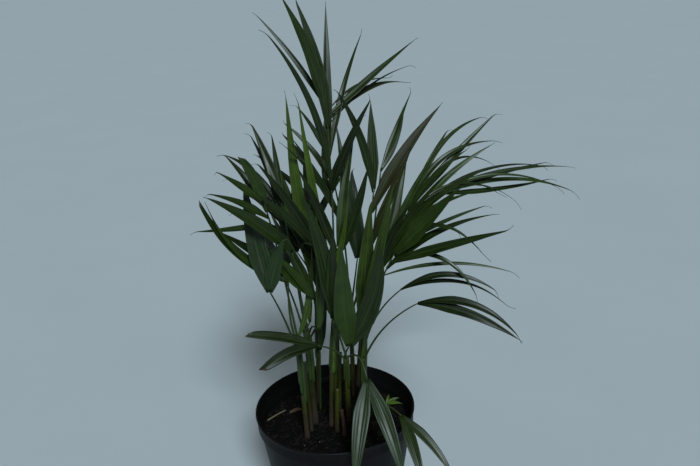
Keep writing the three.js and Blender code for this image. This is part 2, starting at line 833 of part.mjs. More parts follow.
function buildPlant() {
  const slots = {};
  leaves.forEach((leaf) => {
    const root = leaf.cane ?? leaf.name;
    slots[root] ??= [];
    slots[root].push(leaf);
  });
  const limbs = [];
  const bladesOf = new Map();
  Object.values(slots).forEach((bunch) => {
    const headings = new Map(
      bunch.map((leaf) => {
        const [x, y] = leaf.cane ? canes[leaf.cane].top : leaf.foot;
        return [leaf, headingOf(new THREE.Vector3(leaf.end[0] - x, leaf.end[1] - y, 0))];
      }),
    );
    bunch.sort((a, b) => headings.get(a) - headings.get(b));
    const turn = headings.get(bunch[0]);
    bunch.forEach((leaf, slot) => {
      const stalk = makeStalk(leaf, slot, bunch.length, turn);
      const blades = leaf.blades.map((row) => makeBlade(leaf, stalk, row));
      bladesOf.set(leaf.name, { stalk, blades });
      limbs.push(stalk, ...blades);
    });
  });
  const fixed = Object.entries(canes).map(([name, cane]) => {
    return { leaf: name, kind: "cane", radius: (caneDiameter / 2) * cane.girth, points: caneLine(cane) };
  });
  const rimPoints = [];
  for (let i = 0; i <= rimSteps; i++) {
    const centre = direction((360 * i) / rimSteps, 0).multiplyScalar(rimRadius - rimInset);
    centre.z = potHeight - rimInset;
    rimPoints.push({ share: 1, centre });
  }
  fixed.push({ leaf: "pot", kind: "rim", radius: rimReach, points: rimPoints });
  settle(limbs, fixed, settleRounds);
  leaves.forEach((leaf) => {
    const { stalk, blades } = bladesOf.get(leaf.name);
    const solid = blades.reduce((whole, blade) => whole.add(bladeSolid(blade)), stalkSolid(stalk));
    addMesh(leaf.name, geometryFrom(filled(solid)), leaf.look);
  });
  Object.entries(canes).forEach(([name, cane]) => {
    const line = caneLine(cane);
    const rings = line.map(({ share, centre }) => ringAt(centre, up, caneRadius(cane, share), caneSides));
    addMesh(name, geometryFrom(loft(rings)), cane.look ?? "cane");
  });
}

// A dead stick and a scrap of dead leaf lie on the mix.
function buildScraps() {
  const stickLift = stickDiameter / 2 + 2 * clearance + mixCrown / 8;
  const from = overMix(0.94, 176, stickLift);
  const to = overMix(0.75, 159, stickLift);
  const along = to.clone().sub(from).normalize();
  const stick = [from, to].map((end) => ringAt(end, along, stickDiameter / 2, stalkSides));
  addMesh("fallen_stick", geometryFrom(loft(stick)), "deadStick");
  const near = overMix(0.66, 165, scrapBulge);
  const far = overMix(0.53, 152, scrapBulge);
  const middle = near.clone().lerp(far, 0.5);
  middle.z += scrapBulge;
  const scrap = {
    kind: "blade",
    width: scrapWidth,
    isCut: 1,
    swing: new THREE.Vector3(),
    side: far.clone().sub(near).cross(up).normalize(),
    curve: new THREE.QuadraticBezierCurve3(near, middle, far),
  };
  addMesh("fallen_leaf", geometryFrom(bladeSolid(scrap)), "deadLeaf");
}

buildPot();
buildMix();
buildPlant();
buildScraps();

export default group;
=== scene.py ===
"""A young clump of golden cane palm in a round nursery pot: its looks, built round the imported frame."""
import math

import bpy
import numpy as np
from mathutils import Matrix, Vector


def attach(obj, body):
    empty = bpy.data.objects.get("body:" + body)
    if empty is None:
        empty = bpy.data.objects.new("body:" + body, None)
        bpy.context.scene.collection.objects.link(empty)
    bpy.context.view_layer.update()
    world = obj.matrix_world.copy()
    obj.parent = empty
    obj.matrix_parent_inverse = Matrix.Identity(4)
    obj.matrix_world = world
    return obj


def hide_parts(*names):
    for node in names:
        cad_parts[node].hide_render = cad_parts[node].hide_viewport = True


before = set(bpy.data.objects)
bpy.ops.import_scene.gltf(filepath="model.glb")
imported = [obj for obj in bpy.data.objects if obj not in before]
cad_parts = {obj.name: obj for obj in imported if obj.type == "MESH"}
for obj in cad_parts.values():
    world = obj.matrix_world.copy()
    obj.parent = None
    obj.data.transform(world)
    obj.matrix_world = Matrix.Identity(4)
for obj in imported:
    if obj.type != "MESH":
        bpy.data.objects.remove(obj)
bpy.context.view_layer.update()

MM = 0.001

# Driving dimensions, in millimetres, the same as the frame's.
POT_DIAMETER = 240
POT_HEIGHT = 215
PLANT_HEIGHT = 805
PLANT_SPREAD = 585
POT_WALL = 1.8
CANE_DIAMETER = 7.8
STALK_DIAMETER = 3.6
BLADE_THICKNESS = 1.2
BLADE_FOLD = 0.2
STALK_TAPER = 0.45
CANE_TAPER = 0.28
CANE_SWELL = 0.35
CANE_SWELL_TOP = 0.2
CANE_BOW = 0.15
CLEARANCE = 0.4
DRAWN_HEIGHT = 805
DRAWN_SPREAD = 585
DRAWN_MIX_TOP = 187
DRAWN_MIX_RADIUS = 112

UP_SCALE = PLANT_HEIGHT / DRAWN_HEIGHT
OUT_SCALE = PLANT_SPREAD / DRAWN_SPREAD
RIM_RADIUS = POT_DIAMETER / 2
BASE_RADIUS = RIM_RADIUS * 0.72
RIM_BAND = POT_HEIGHT * 0.11
RIM_STEP = 5
FLOOR_THICKNESS = POT_WALL * 1.3
MIX_TOP = POT_HEIGHT * 0.87
DRAIN_HOLES = 8
DRAIN_RADIUS = 7
DRAIN_INSET = 8
BAND_INSET = 2
LIP = 2.5

# Canes: the foot's x and y, the top's x, y and z, and the thickness as a share of the usual one.
CANES = {
    "cane_left_front": {"foot": [-42, -40], "top": [-46, -26, 318], "girth": 1},
    "cane_left": {"foot": [-31, -4], "top": [-34, 6, 326], "girth": 1.25},
    "cane_back_left": {"foot": [-27, 50], "top": [-20, 50, 345], "girth": 0.9},
    "cane_middle_back": {"foot": [2, 20], "top": [8, 26, 340], "girth": 1},
    "cane_middle": {"foot": [-6, -13], "top": [4, -2, 336], "girth": 1.1},
    "cane_cut": {"foot": [2, -26], "top": [6, -32, 262], "girth": 0.95},
    "cane_front": {"foot": [20, -2], "top": [21, -34, 312], "girth": 1.05},
    "cane_back": {"foot": [29, 66], "top": [30, 60, 335], "girth": 1},
    "cane_back_right": {"foot": [36, 95], "top": [52, 88, 330], "girth": 0.95},
    "cane_right": {"foot": [43, 30], "top": [49, 20, 318], "girth": 1.05},
    "cane_right_front": {"foot": [45, 2], "top": [46, -8, 296], "girth": 1.05},
    "cane_thin_left": {"foot": [-36, -24], "top": [-40, -12, 298], "girth": 0.7},
    "cane_thin_middle": {"foot": [6, 4], "top": [13, -4, 306], "girth": 0.7},
    "cane_short": {"foot": [46, -30], "top": [52, -36, 236], "girth": 0.75},
    "dead_sheath": {"foot": [13, -38], "top": [11, -44, 234], "girth": 0.75},
}

# Leaves. A leaf's stalk runs from its cane's top to "end" and its blades sit on it:
# [share of the stalk, heading, rise, length, arch, width, sideways swing, cut tip]
LEAVES = [
    {
        "name": "leaf_top_frond", "slot": "leaf_green",
        "cane": "cane_middle", "end": [-3, 48, 653], "arch": 4,
        "blades": [
            [0.98, 201, 71, 174, 8, 19],
            [0.92, 155, 77, 184, 9, 18],
            [1, 154, 51, 171, 7, 8],
            [0.66, 218, 67, 250, 22, 11],
            [0.84, 85, 73, 202, 4, 13],
            [0.8, 55, 59, 190, 10, 10],
            [0.97, 32, 30, 186, 2, 12],
            [0.95, 42, 9, 174, 21, 12],
            [0.99, 36, 14, 125, 16, 4],
            [0.93, 40, 20, 185, 14, 4],
            [0.64, 322, 61, 166, 5, 14],
        ],
    },
    {
        "name": "leaf_upright_pair", "slot": "leaf_green",
        "cane": "cane_back", "end": [72, 30, 545], "arch": -6,
        "blades": [
            [0.99, 88, 76, 125, 2, 17],
            [0.97, 221, 68, 168, 11, 13],
        ],
    },
    {
        "name": "leaf_bright_tall", "slot": "leaf_young",
        "cane": "cane_middle", "end": [2, 0, 372], "arch": 0,
        "blades": [
            [1, 180, 82, 315, -5, 15],
            [0.95, 114, 83, 325, -5, 22],
        ],
    },
    {
        "name": "leaf_left_upright", "slot": "leaf_green",
        "cane": "cane_left", "end": [-46, -46, 553], "arch": 8,
        "blades": [
            [1, 102, 48, 107, 3, 9],
            [0.97, 136, 61, 122, 3, 14],
            [0.9, 124, 52, 130, 10, 9],
            [0.86, 139, 32, 145, 22, 10],
        ],
    },
    {
        "name": "leaf_left_frond", "slot": "leaf_green",
        "cane": "cane_left_front", "end": [-58, -70, 572], "arch": 16,
        "blades": [
            [1, 219, 40, 87, 1, 12],
            [0.97, 150, 47, 90, 4, 12],
            [0.94, 236, 65, 86, 4, 14, 0, 1],
            [0.9, 199, 29, 92, 4, 12],
            [0.86, 172, -9, 112, -4, 9],
        ],
    },
    {
        "name": "leaf_broad_left", "slot": "leaf_green",
        "cane": "cane_left", "end": [-37, -40, 486], "arch": 6,
        "blades": [
            [1, 214, 40, 168, 5, 20],
            [0.6, 197, 43, 145, 4, 16],
        ],
    },
    {
        "name": "leaf_hooked_left", "slot": "leaf_green",
        "cane": "cane_left_front", "end": [-36, -60, 450], "arch": 8,
        "blades": [
            [1, 195, 51, 158, -14, 13, 0, 1],
            [0.97, 203, 56, 163, -16, 7],
        ],
    },
    {
        "name": "leaf_pleated_left", "slot": "leaf_grey",
        "cane": "cane_left_front", "end": [-72, -90, 449], "arch": 4,
        "blades": [
            [1, 123, 76, 150, -3, 27],
            [1, 338, 71, 84, 2, 23],
        ],
    },
    {
        "name": "leaf_pleated_behind", "slot": "leaf_grey",
        "cane": "cane_left", "end": [-66, 40, 415], "arch": 6,
        "blades": [
            [1, 141, 60, 100, -2, 22],
            [1, 69, 56, 95, -4, 20],
        ],
    },
    {
        "name": "leaf_crossing_frond", "slot": "leaf_green",
        "cane": "cane_back", "end": [8, 62, 588], "arch": 8,
        "blades": [
            [0.6, 220, 61, 163, 4, 11],
            [0.8, 155, 49, 125, 10, 10],
            [1, 127, 40, 98, 5, 8],
            [0.55, 224, 56, 182, 13, 8],
        ],
    },
    {
        "name": "leaf_centre_fan", "slot": "leaf_green",
        "cane": "cane_front", "end": [28, -50, 336], "arch": 0,
        "blades": [
            [1, 262, 72, 192, -2, 31, 5],
            [1, 311, 70, 196, -9, 29, -11],
        ],
    },
    {
        "name": "leaf_bright_blade", "slot": "leaf_young",
        "cane": "cane_right", "end": [46, 0, 345], "arch": 0,
        "blades": [
            [1, 318, 74, 245, -1, 18],
            [1, 40, 82, 195, 1, 26],
        ],
    },
    {
        "name": "leaf_dark_fan", "slot": "leaf_grey",
        "cane": "cane_back", "end": [44, 50, 432], "arch": 0,
        "blades": [
            [1, 114, 77, 144, 0, 24],
            [1, 93, 68, 136, 2, 26],
        ],
    },
    {
        "name": "leaf_bronze", "slot": "leaf_green",
        "cane": "cane_right", "end": [66, 40, 506], "arch": -4,
        "blades": [
            [1, 24, 50, 188, 9, 20],
            [0.72, 343, 66, 171, 0, 15],
        ],
    },
    {
        "name": "leaf_forked", "slot": "leaf_green",
        "cane": "cane_back_right", "end": [84, 50, 562], "arch": 0,
        "blades": [
            [1, 54, 48, 138, 2, 9],
            [1, 33, 62, 97, -8, 8],
        ],
    },
    {
        "name": "leaf_right_upper_frond", "slot": "leaf_green",
        "cane": "cane_right", "end": [132, 62, 512], "arch": 14,
        "blades": [
            [1, 24, 39, 185, 4, 12],
            [0.98, 39, 33, 188, 33, 8],
            [0.96, 31, 6, 175, 45, 6],
            [0.92, 3, 45, 129, 10, 11],
            [0.9, 19, 30, 177, 37, 10],
            [0.86, 20, 2, 168, 40, 6],
        ],
    },
    {
        "name": "leaf_right_long_frond", "slot": "leaf_green",
        "cane": "cane_back_right", "end": [174, 112, 508], "arch": 30,
        "blades": [
            [1, 20, 6, 205, 4, 9],
            [0.98, 21, -2, 222, -6, 11],
            [0.94, 18, 3, 256, 18, 10],
            [0.88, 15, -5, 274, 32, 8],
            [0.9, 24, 4, 232, 24, 6],
            [0.84, 9, 0, 238, 38, 6],
            [0.8, 17, -7, 190, 38, 6],
        ],
    },
    {
        "name": "leaf_low_right_frond", "slot": "leaf_green",
        "cane": "cane_right_front", "end": [100, 0, 470], "arch": 10,
        "blades": [
            [1, 328, 0, 133, 40, 7],
            [1, 355, 25, 140, 5, 7],
            [0.97, 330, 20, 105, 25, 8],
            [0.92, 321, 48, 164, -1, 24],
            [0.85, 331, 23, 192, 2, 15],
            [0.8, 345, 30, 177, 15, 14],
            [0.74, 354, 0, 189, 18, 6],
            [0.92, 335, -24, 135, 32, 8],
        ],
    },
    {
        "name": "leaf_arched_pair", "slot": "leaf_green",
        "cane": "cane_right_front", "end": [101, -20, 410], "arch": 12,
        "blades": [
            [1, 347, 0, 139, 27, 10],
            [1, 356, -13, 160, 29, 7],
        ],
    },
    {
        "name": "leaf_lower_pair", "slot": "leaf_green",
        "cane": "cane_right_front", "end": [123, -50, 403], "arch": 10,
        "blades": [
            [1, 335, -13, 147, 12, 15],
            [1, 339, -15, 147, 27, 13],
        ],
    },
    {
        "name": "leaf_small_cut", "slot": "leaf_green",
        "cane": "cane_front", "end": [-16, -60, 350], "arch": 4,
        "blades": [
            [1, 198, 22, 103, 4, 14, 0, 1],
            [1, 214, -3, 88, 8, 16, 0, 1],
        ],
    },
    {
        "name": "leaf_seedling", "slot": "leaf_young",
        "foot": [-24, 24], "end": [-18, 20, 298], "arch": 0,
        "blades": [
            [1, 268, 84, 93, 0, 11],
            [1, 2, 80, 84, 0, 11],
        ],
    },
    {
        "name": "leaf_spear_left", "slot": "leaf_young",
        "cane": "cane_left_front", "end": [-44, -30, 346], "arch": 0,
        "blades": [
            [1, 3, 86, 145, 0, 10],
        ],
    },
    {
        "name": "leaf_spear_short", "slot": "leaf_young",
        "cane": "cane_left", "end": [-26, -4, 348], "arch": 0,
        "blades": [
            [1, 2, 84, 90, 0, 11],
        ],
    },
    {
        "name": "leaf_spear_middle", "slot": "leaf_young",
        "cane": "cane_middle_back", "end": [-2, 6, 400], "arch": 0,
        "blades": [
            [1, 340, 80, 130, 0, 10],
        ],
    },
    {
        "name": "leaf_hanging_large", "slot": "leaf_grey",
        "cane": "cane_front", "end": [42, -84, 303], "arch": 16,
        "blades": [
            [1, 254, -54, 150, 12, 24],
            [1, 298, -52, 155, 12, 22],
        ],
    },
    {
        "name": "leaf_hanging_small", "slot": "leaf_green",
        "cane": "cane_short", "end": [94, -88, 250], "arch": 8,
        "blades": [
            [1, 288, -40, 110, 8, 17],
            [1, 318, -36, 115, 10, 14],
        ],
    },
    {
        "name": "leaf_centre_left", "slot": "leaf_green",
        "cane": "cane_middle_back", "end": [-14, -20, 470], "arch": 4,
        "blades": [
            [1, 205, 62, 170, 6, 15],
            [0.95, 225, 50, 160, 8, 15],
            [0.9, 188, 45, 150, 8, 13],
            [0.8, 240, 35, 120, 8, 13],
            [0.75, 165, 62, 150, 5, 13],
        ],
    },
    {
        "name": "leaf_left_inner", "slot": "leaf_green",
        "cane": "cane_left", "end": [-34, -34, 410], "arch": 2,
        "blades": [
            [1, 200, 60, 150, 5, 17],
            [1, 150, 66, 140, 4, 15],
            [0.9, 215, 58, 120, 6, 14],
        ],
    },
    {
        "name": "leaf_centre_upright", "slot": "leaf_green",
        "cane": "cane_middle", "end": [10, 8, 468], "arch": 2,
        "blades": [
            [1, 110, 72, 180, 5, 15],
            [1, 60, 68, 170, 6, 15],
            [0.9, 300, 70, 160, 6, 15],
            [0.85, 230, 66, 170, 6, 14],
        ],
    },
    {
        "name": "leaf_centre_right", "slot": "leaf_green",
        "cane": "cane_right", "end": [80, 10, 440], "arch": 4,
        "blades": [
            [1, 60, 65, 180, 6, 14],
            [1, 20, 60, 190, 8, 12],
            [0.95, 340, 55, 180, 8, 12],
            [0.9, 0, 45, 170, 10, 14],
            [0.8, 315, 60, 150, 6, 15],
        ],
    },
    {
        "name": "leaf_right_middle", "slot": "leaf_green",
        "cane": "cane_back_right", "end": [112, 64, 470], "arch": 12,
        "blades": [
            [1, 50, 46, 180, 12, 12],
            [1, 15, 38, 185, 14, 12],
            [0.95, 350, 38, 170, 12, 10],
            [0.85, 335, 35, 150, 12, 10],
            [0.8, 70, 50, 150, 8, 12],
        ],
    },
    {
        "name": "leaf_back_upright", "slot": "leaf_green",
        "cane": "cane_back_left", "end": [0, 92, 520], "arch": 6,
        "blades": [
            [1, 80, 68, 150, 5, 13],
            [1, 140, 45, 120, 6, 13],
            [0.9, 30, 60, 150, 6, 13],
            [0.8, 170, 45, 140, 8, 13],
        ],
    },
    {
        "name": "leaf_left_back", "slot": "leaf_green",
        "cane": "cane_back_left", "end": [-50, 70, 470], "arch": 10,
        "blades": [
            [1, 148, 50, 130, 6, 13],
            [1, 182, 45, 130, 6, 13],
            [0.9, 122, 54, 130, 6, 13],
            [0.8, 190, 34, 120, 8, 13],
        ],
    },
    {
        "name": "leaf_front_centre", "slot": "leaf_green",
        "cane": "cane_front", "end": [10, -56, 392], "arch": 2,
        "blades": [
            [1, 215, 76, 195, 4, 24],
            [1, 285, 75, 150, 4, 17],
        ],
    },
    {
        "name": "leaf_left_low", "slot": "leaf_green",
        "cane": "cane_left", "end": [-16, -40, 338], "arch": 2,
        "blades": [
            [1, 140, 77, 195, 6, 15],
            [1, 100, 82, 180, 4, 14],
        ],
    },
    {
        "name": "leaf_left_middle", "slot": "leaf_green",
        "cane": "cane_back_left", "end": [-40, 20, 478], "arch": 6,
        "blades": [
            [1, 175, 70, 135, 6, 16],
            [0.95, 150, 76, 125, 4, 15],
            [0.9, 110, 80, 115, 4, 14],
            [0.9, 190, 58, 115, 6, 14],
        ],
    },
    {
        "name": "weed_seedling", "slot": "leaf_young",
        "foot": [78, 24], "end": [80, 22, 196], "arch": 0,
        "blades": [
            [1, 10, 22, 22, 3, 6],
            [1, 345, 8, 24, 3, 6],
            [1, 75, 30, 18, 2, 5],
        ],
    },
    {
        "name": "leaf_back_low", "slot": "leaf_green",
        "cane": "cane_middle_back", "end": [-46, 92, 430], "arch": 8,
        "blades": [
            [1, 112, 15, 150, 20, 20],
            [1, 78, 20, 150, 20, 20],
        ],
    },
    {
        "name": "leaf_back_frond", "slot": "leaf_green",
        "cane": "cane_back_left", "end": [-22, 104, 470], "arch": 6,
        "blades": [
            [1, 98, 42, 125, 8, 14],
            [0.9, 60, 30, 130, 12, 12],
            [0.86, 142, 30, 130, 12, 12],
            [0.7, 100, 8, 125, 16, 14],
        ],
    },
]

rng = np.random.default_rng(7)


# ---------------------------------------------------------------- shape of the plant, as the frame has it

def direction(heading, rise):
    h, r = math.radians(heading), math.radians(rise)
    return np.array([math.cos(r) * math.cos(h), math.cos(r) * math.sin(h), math.sin(r)])


def unit(v):
    return v / np.linalg.norm(v)


def outer_radius(z):
    """The pot's outer radius at a height below its band."""
    return BASE_RADIUS + (RIM_RADIUS - RIM_STEP - BASE_RADIUS) * z / (POT_HEIGHT - RIM_BAND)


MIX_RADIUS = outer_radius(MIX_TOP) - POT_WALL - CLEARANCE
FOOT_SCALE = MIX_RADIUS / DRAWN_MIX_RADIUS


def place(point, spread=OUT_SCALE):
    """A point of the drawn plant, moved to the driving sizes."""
    x, y, z = point
    lift = (z - DRAWN_MIX_TOP) * (PLANT_HEIGHT - MIX_TOP) / (DRAWN_HEIGHT - DRAWN_MIX_TOP)
    return np.array([x * spread, y * spread, MIX_TOP + lift])


def bezier(curve, share):
    share = np.atleast_1d(share)[:, None]
    start, control, end = curve
    return start * (1 - share) ** 2 + control * 2 * share * (1 - share) + end * share ** 2


def heading_of(v):
    return math.degrees(math.atan2(v[1], v[0]))


def rise_of(v):
    return math.degrees(math.asin(v[2] / np.linalg.norm(v)))


def bent_line(start, end, arch, swing, heading, rise):
    over = direction(heading, rise + 90)
    aside = np.cross(unit(end - start), over)
    control = (start + end) / 2 + over * 2 * arch + aside * 2 * swing
    return start, control, end


EAST = np.array([1.0, 0, 0])
LIGHT = unit(np.array([0, -0.7, 0.7]))
BLADE_STEPS = 5
STALK_STEPS = 5
CANE_STEPS = 5
SETTLE_ROUNDS = 300
SETTLE_GAP = 0.8
SETTLED_SHORT = 0.05
LEAST_GIVE = 0.01
BOX_MARGIN = 9
FAR_APART = 40
RIM_STEPS = 24
RIM_INSET = 3
RIM_REACH = 5


def half_width(share, width, is_cut):
    """Half width of a blade: narrow at the stalk, widest before the middle, pointed or cut at the tip."""
    opening = 0.3 + 0.7 * np.minimum(1, share / 0.3)
    closing = np.sqrt(1 - 0.75 * share ** 4) if is_cut else 1 - share ** 2.2
    return np.maximum(0.35, width / 2 * opening * closing)


def give(share):
    """How far a place along a limb follows its swing."""
    return 1 - (1 - share) ** 3


def make_stalk(leaf, place_in_ring, count, turn):
    around = turn + 360 / count * place_in_ring
    ring = (STALK_DIAMETER + 2 * CLEARANCE) / (2 * math.sin(math.pi / count)) if count > 1 else 0
    base = CANES[leaf["cane"]]["top"] if "cane" in leaf else [*leaf["foot"], DRAWN_MIX_TOP]
    spread = OUT_SCALE if "cane" in leaf else FOOT_SCALE
    start = place(base, spread) + direction(around, 0) * ring
    start[2] += CLEARANCE + STALK_DIAMETER / 2
    end = place(leaf["end"], spread)
    chord = end - start
    curve = bent_line(start, end, leaf["arch"], 0, heading_of(chord), rise_of(chord))
    return {"leaf": leaf["name"], "kind": "stalk", "curve": curve, "swing": np.zeros(3), "side": EAST}


def make_blade(leaf, stalk, row):
    at, heading, rise, length, arch, width, aside, is_cut = (row + [0, 0])[:8]
    start = bezier(stalk["curve"], at)[0]
    reach = direction(heading, rise) * length * np.array([OUT_SCALE, OUT_SCALE, UP_SCALE])
    curve = bent_line(start, start + reach, arch, aside, heading, rise)
    return {
        "leaf": leaf["name"],
        "kind": "blade",
        "curve": curve,
        "swing": np.zeros(3),
        "stalk": stalk,
        "at": at,
        "side": unit(np.cross(LIGHT, reach)),
        "width": width,
        "cut": is_cut,
        "length": length,
    }


def carried(limb):
    """How far a blade's base moves with its stalk."""
    if "stalk" not in limb:
        return np.zeros(3)
    line = stations(limb["stalk"])
    spot = limb["at"] * STALK_STEPS
    step = min(STALK_STEPS - 1, int(spot))
    return line[step] + (line[step + 1] - line[step]) * (spot - step) - limb["curve"][0]


def line_at(limb, shares):
    return bezier(limb["curve"], shares) + carried(limb) + limb["swing"] * give(shares)[:, None]


def stations(limb):
    if "points" in limb:
        return limb["points"]
    steps = BLADE_STEPS if limb["kind"] == "blade" else STALK_STEPS
    return line_at(limb, np.linspace(0, 1, steps + 1))


def settle(limbs, fixed):
    """Pushes limbs of different leaves apart until they clear each other, the canes and the rim."""
    both = limbs + fixed
    steps = [len(stations(limb)) - 1 for limb in both]
    owner = np.repeat(np.arange(len(both)), steps)
    starts = np.concatenate([[0], np.cumsum(np.array(steps) + 1)[:-1]])
    first_point = np.concatenate([start + np.arange(count) for start, count in zip(starts, steps)])
    even = [np.linspace(0, 1, count + 1) for count in steps]
    shares = np.concatenate([limb.get("shares", line) for limb, line in zip(both, even)])
    leaves = list(dict.fromkeys(limb["leaf"] for limb in both))
    leaf_of = np.array([leaves.index(limb["leaf"]) for limb in both])
    moves = np.array(["points" not in limb for limb in both])
    a, b = np.triu_indices(len(owner), 1)
    keep = (leaf_of[owner[a]] != leaf_of[owner[b]]) & moves[owner[a]]
    a, b = a[keep], b[keep]
    for _ in range(SETTLE_ROUNDS):
        lines = [stations(limb) for limb in both]
        points = np.concatenate(lines)
        low = np.array([line.min(0) for line in lines]) - BOX_MARGIN
        high = np.array([line.max(0) for line in lines]) + BOX_MARGIN
        meet = ((low[:, None] <= high[None]) & (high[:, None] >= low[None])).all(2)
        near = meet[owner[a], owner[b]]
        i, j = a[near], b[near]
        p1, q1 = points[first_point[i]], points[first_point[i] + 1]
        p2, q2 = points[first_point[j]], points[first_point[j] + 1]
        s, t = closest_shares(p1, q1, p2, q2)
        away = p1 + (q1 - p1) * s[:, None] - p2 - (q2 - p2) * t[:, None]
        distance = np.linalg.norm(away, axis=1)
        away = away / distance[:, None]
        share_p = shares[first_point[i]] * (1 - s) + shares[first_point[i] + 1] * s
        share_q = shares[first_point[j]] * (1 - t) + shares[first_point[j] + 1] * t
        reach_p = reach_along(both, owner[i], share_p, q1 - p1, away)
        reach_q = reach_along(both, owner[j], share_q, q2 - p2, away)
        short = reach_p + reach_q + SETTLE_GAP - distance
        weight_p = give(share_p)
        weight_q = np.where(moves[owner[j]], give(share_q), 0)
        total = weight_p ** 2 + weight_q ** 2
        push = (short > 0) & (total >= LEAST_GIVE) & (distance <= FAR_APART)
        if not push.any():
            break
        amount = 0.5 * short[push] / total[push]
        swing = np.zeros((len(both), 3))
        np.add.at(swing, owner[i][push], away[push] * (amount * weight_p[push])[:, None])
        np.add.at(swing, owner[j][push], -away[push] * (amount * weight_q[push])[:, None])
        for limb, change in zip(limbs, swing):
            limb["swing"] = limb["swing"] + change
        if short[push].max() < SETTLED_SHORT:
            break


def dot(u, v):
    return (u * v).sum(1)


def closest_shares(p1, q1, p2, q2):
    """Where straight pieces pass closest, as a share along each."""
    d1, d2, r = q1 - p1, q2 - p2, p1 - p2
    a, e, b, c, f = dot(d1, d1), dot(d2, d2), dot(d1, d2), dot(d1, r), dot(d2, r)
    low = a * e - b * b
    s = np.where(low > 0, np.clip((b * f - c * e) / np.where(low > 0, low, 1), 0, 1), 0)
    t = (b * s + f) / e
    outside = (t < 0) | (t > 1)
    t = np.clip(t, 0, 1)
    s = np.where(outside, np.clip((b * t - c) / a, 0, 1), s)
    return s, t


def reach_along(both, which, share, along, towards):
    """How far each limb's own thickness reaches towards another limb."""
    width = np.array([limb.get("width", 0) for limb in both])[which]
    cut = np.array([bool(limb.get("cut", 0)) for limb in both])[which]
    side = np.array([limb["side"] for limb in both])[which]
    radius = np.array([limb.get("radius", 0) for limb in both])[which]
    half = np.where(cut, half_width(share, width, 1), half_width(share, width, 0))
    thin = np.where(radius > 0, radius, STALK_DIAMETER / 2 * (1 - STALK_TAPER * share))
    along = along / np.linalg.norm(along, axis=1)[:, None]
    across = np.abs(dot(towards, side)) * half
    through = np.abs(dot(towards, np.cross(along, side))) * (BLADE_FOLD * half + BLADE_THICKNESS / 2)
    return np.where(width > 0, across + through, thin)


def cane_curve(cane):
    top = place(cane["top"])
    foot = np.array([*np.array(cane["foot"]) * FOOT_SCALE, MIX_TOP + CLEARANCE])
    middle = (foot + top) / 2
    middle[0] += (foot[0] - top[0]) * CANE_BOW
    return foot, middle, top


def leaning(leaf):
    """Which way round a leaf leans from its cane."""
    base = CANES[leaf["cane"]]["top"] if "cane" in leaf else leaf["foot"]
    return heading_of([leaf["end"][0] - base[0], leaf["end"][1] - base[1]])


def grow_plant():
    """Every leaf with its stalk and blades in their settled places."""
    bunches = {}
    for leaf in LEAVES:
        bunches.setdefault(leaf.get("cane", leaf["name"]), []).append(leaf)
    limbs = []
    parts = {}
    for bunch in bunches.values():
        bunch.sort(key=leaning)
        turn = leaning(bunch[0])
        for number, leaf in enumerate(bunch):
            stalk = make_stalk(leaf, number, len(bunch), turn)
            blades = [make_blade(leaf, stalk, row) for row in leaf["blades"]]
            parts[leaf["name"]] = (leaf, stalk, blades)
            limbs += [stalk, *blades]
    fixed = []
    for name, cane in CANES.items():
        points = bezier(cane_curve(cane), np.linspace(0, 1, CANE_STEPS + 1))
        radius = CANE_DIAMETER / 2 * cane["girth"]
        fixed.append({"leaf": name, "kind": "cane", "radius": radius, "points": points, "side": EAST})
    headings = np.linspace(0, 360, RIM_STEPS + 1)
    rim = np.array([direction(heading, 0) * (RIM_RADIUS - RIM_INSET) for heading in headings])
    rim[:, 2] = POT_HEIGHT - RIM_INSET
    fixed.append({
        "leaf": "pot",
        "kind": "rim",
        "radius": RIM_REACH,
        "points": rim,
        "shares": np.ones(RIM_STEPS + 1),
        "side": EAST,
    })
    settle(limbs, fixed)
    return parts


# ---------------------------------------------------------------- mesh helpers

def new_piece(name, points, faces, material, nodes, values=None, smooth=True):
    mesh = bpy.data.meshes.new(name)
    mesh.from_pydata([tuple(p) for p in np.asarray(points) * MM], [], faces)
    mesh.validate()
    mesh.polygons.foreach_set("use_smooth", [smooth] * len(mesh.polygons))
    for label, numbers in (values or {}).items():
        attribute = mesh.attributes.new(label, "FLOAT", "POINT")
        attribute.data.foreach_set("value", np.asarray(numbers, np.float32))
    piece = bpy.data.objects.new(name, mesh)
    bpy.context.scene.collection.objects.link(piece)
    mesh.materials.append(material)
    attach(piece, "root")
    if nodes:
        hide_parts(*nodes)
    return piece


# The tint of a piece whose finish doesn't use it.
PLAIN_TINT = 0.5


class Builder:
    """Collects rings of points into one mesh with per-point values."""

    def __init__(self, labels):
        self.points = []
        self.faces = []
        self.values = {label: [] for label in labels}

    def add(self, grid, values, closed, cap_start=False, cap_end=False):
        """grid is rows of points; closed joins each row's last point to its first."""
        rows, columns = grid.shape[:2]
        base = len(self.points)
        self.points.extend(grid.reshape(-1, 3))
        for label, numbers in self.values.items():
            numbers.extend(np.broadcast_to(values[label], (rows, columns)).reshape(-1))
        spans = columns if closed else columns - 1
        for row in range(rows - 1):
            for column in range(spans):
                here = base + row * columns + column
                side = base + row * columns + (column + 1) % columns
                self.faces.append((here, side, side + columns, here + columns))
        if cap_start:
            self.faces.append(tuple(range(base + columns - 1, base - 1, -1)))
        if cap_end:
            last = base + (rows - 1) * columns
            self.faces.append(tuple(range(last, last + columns)))


def frames_along(line, side):
    tangent = np.gradient(line, axis=0)
    tangent /= np.linalg.norm(tangent, axis=1)[:, None]
    across = side - tangent * (tangent @ side)[:, None]
    across /= np.linalg.norm(across, axis=1)[:, None]
    return tangent, across, np.cross(tangent, across)


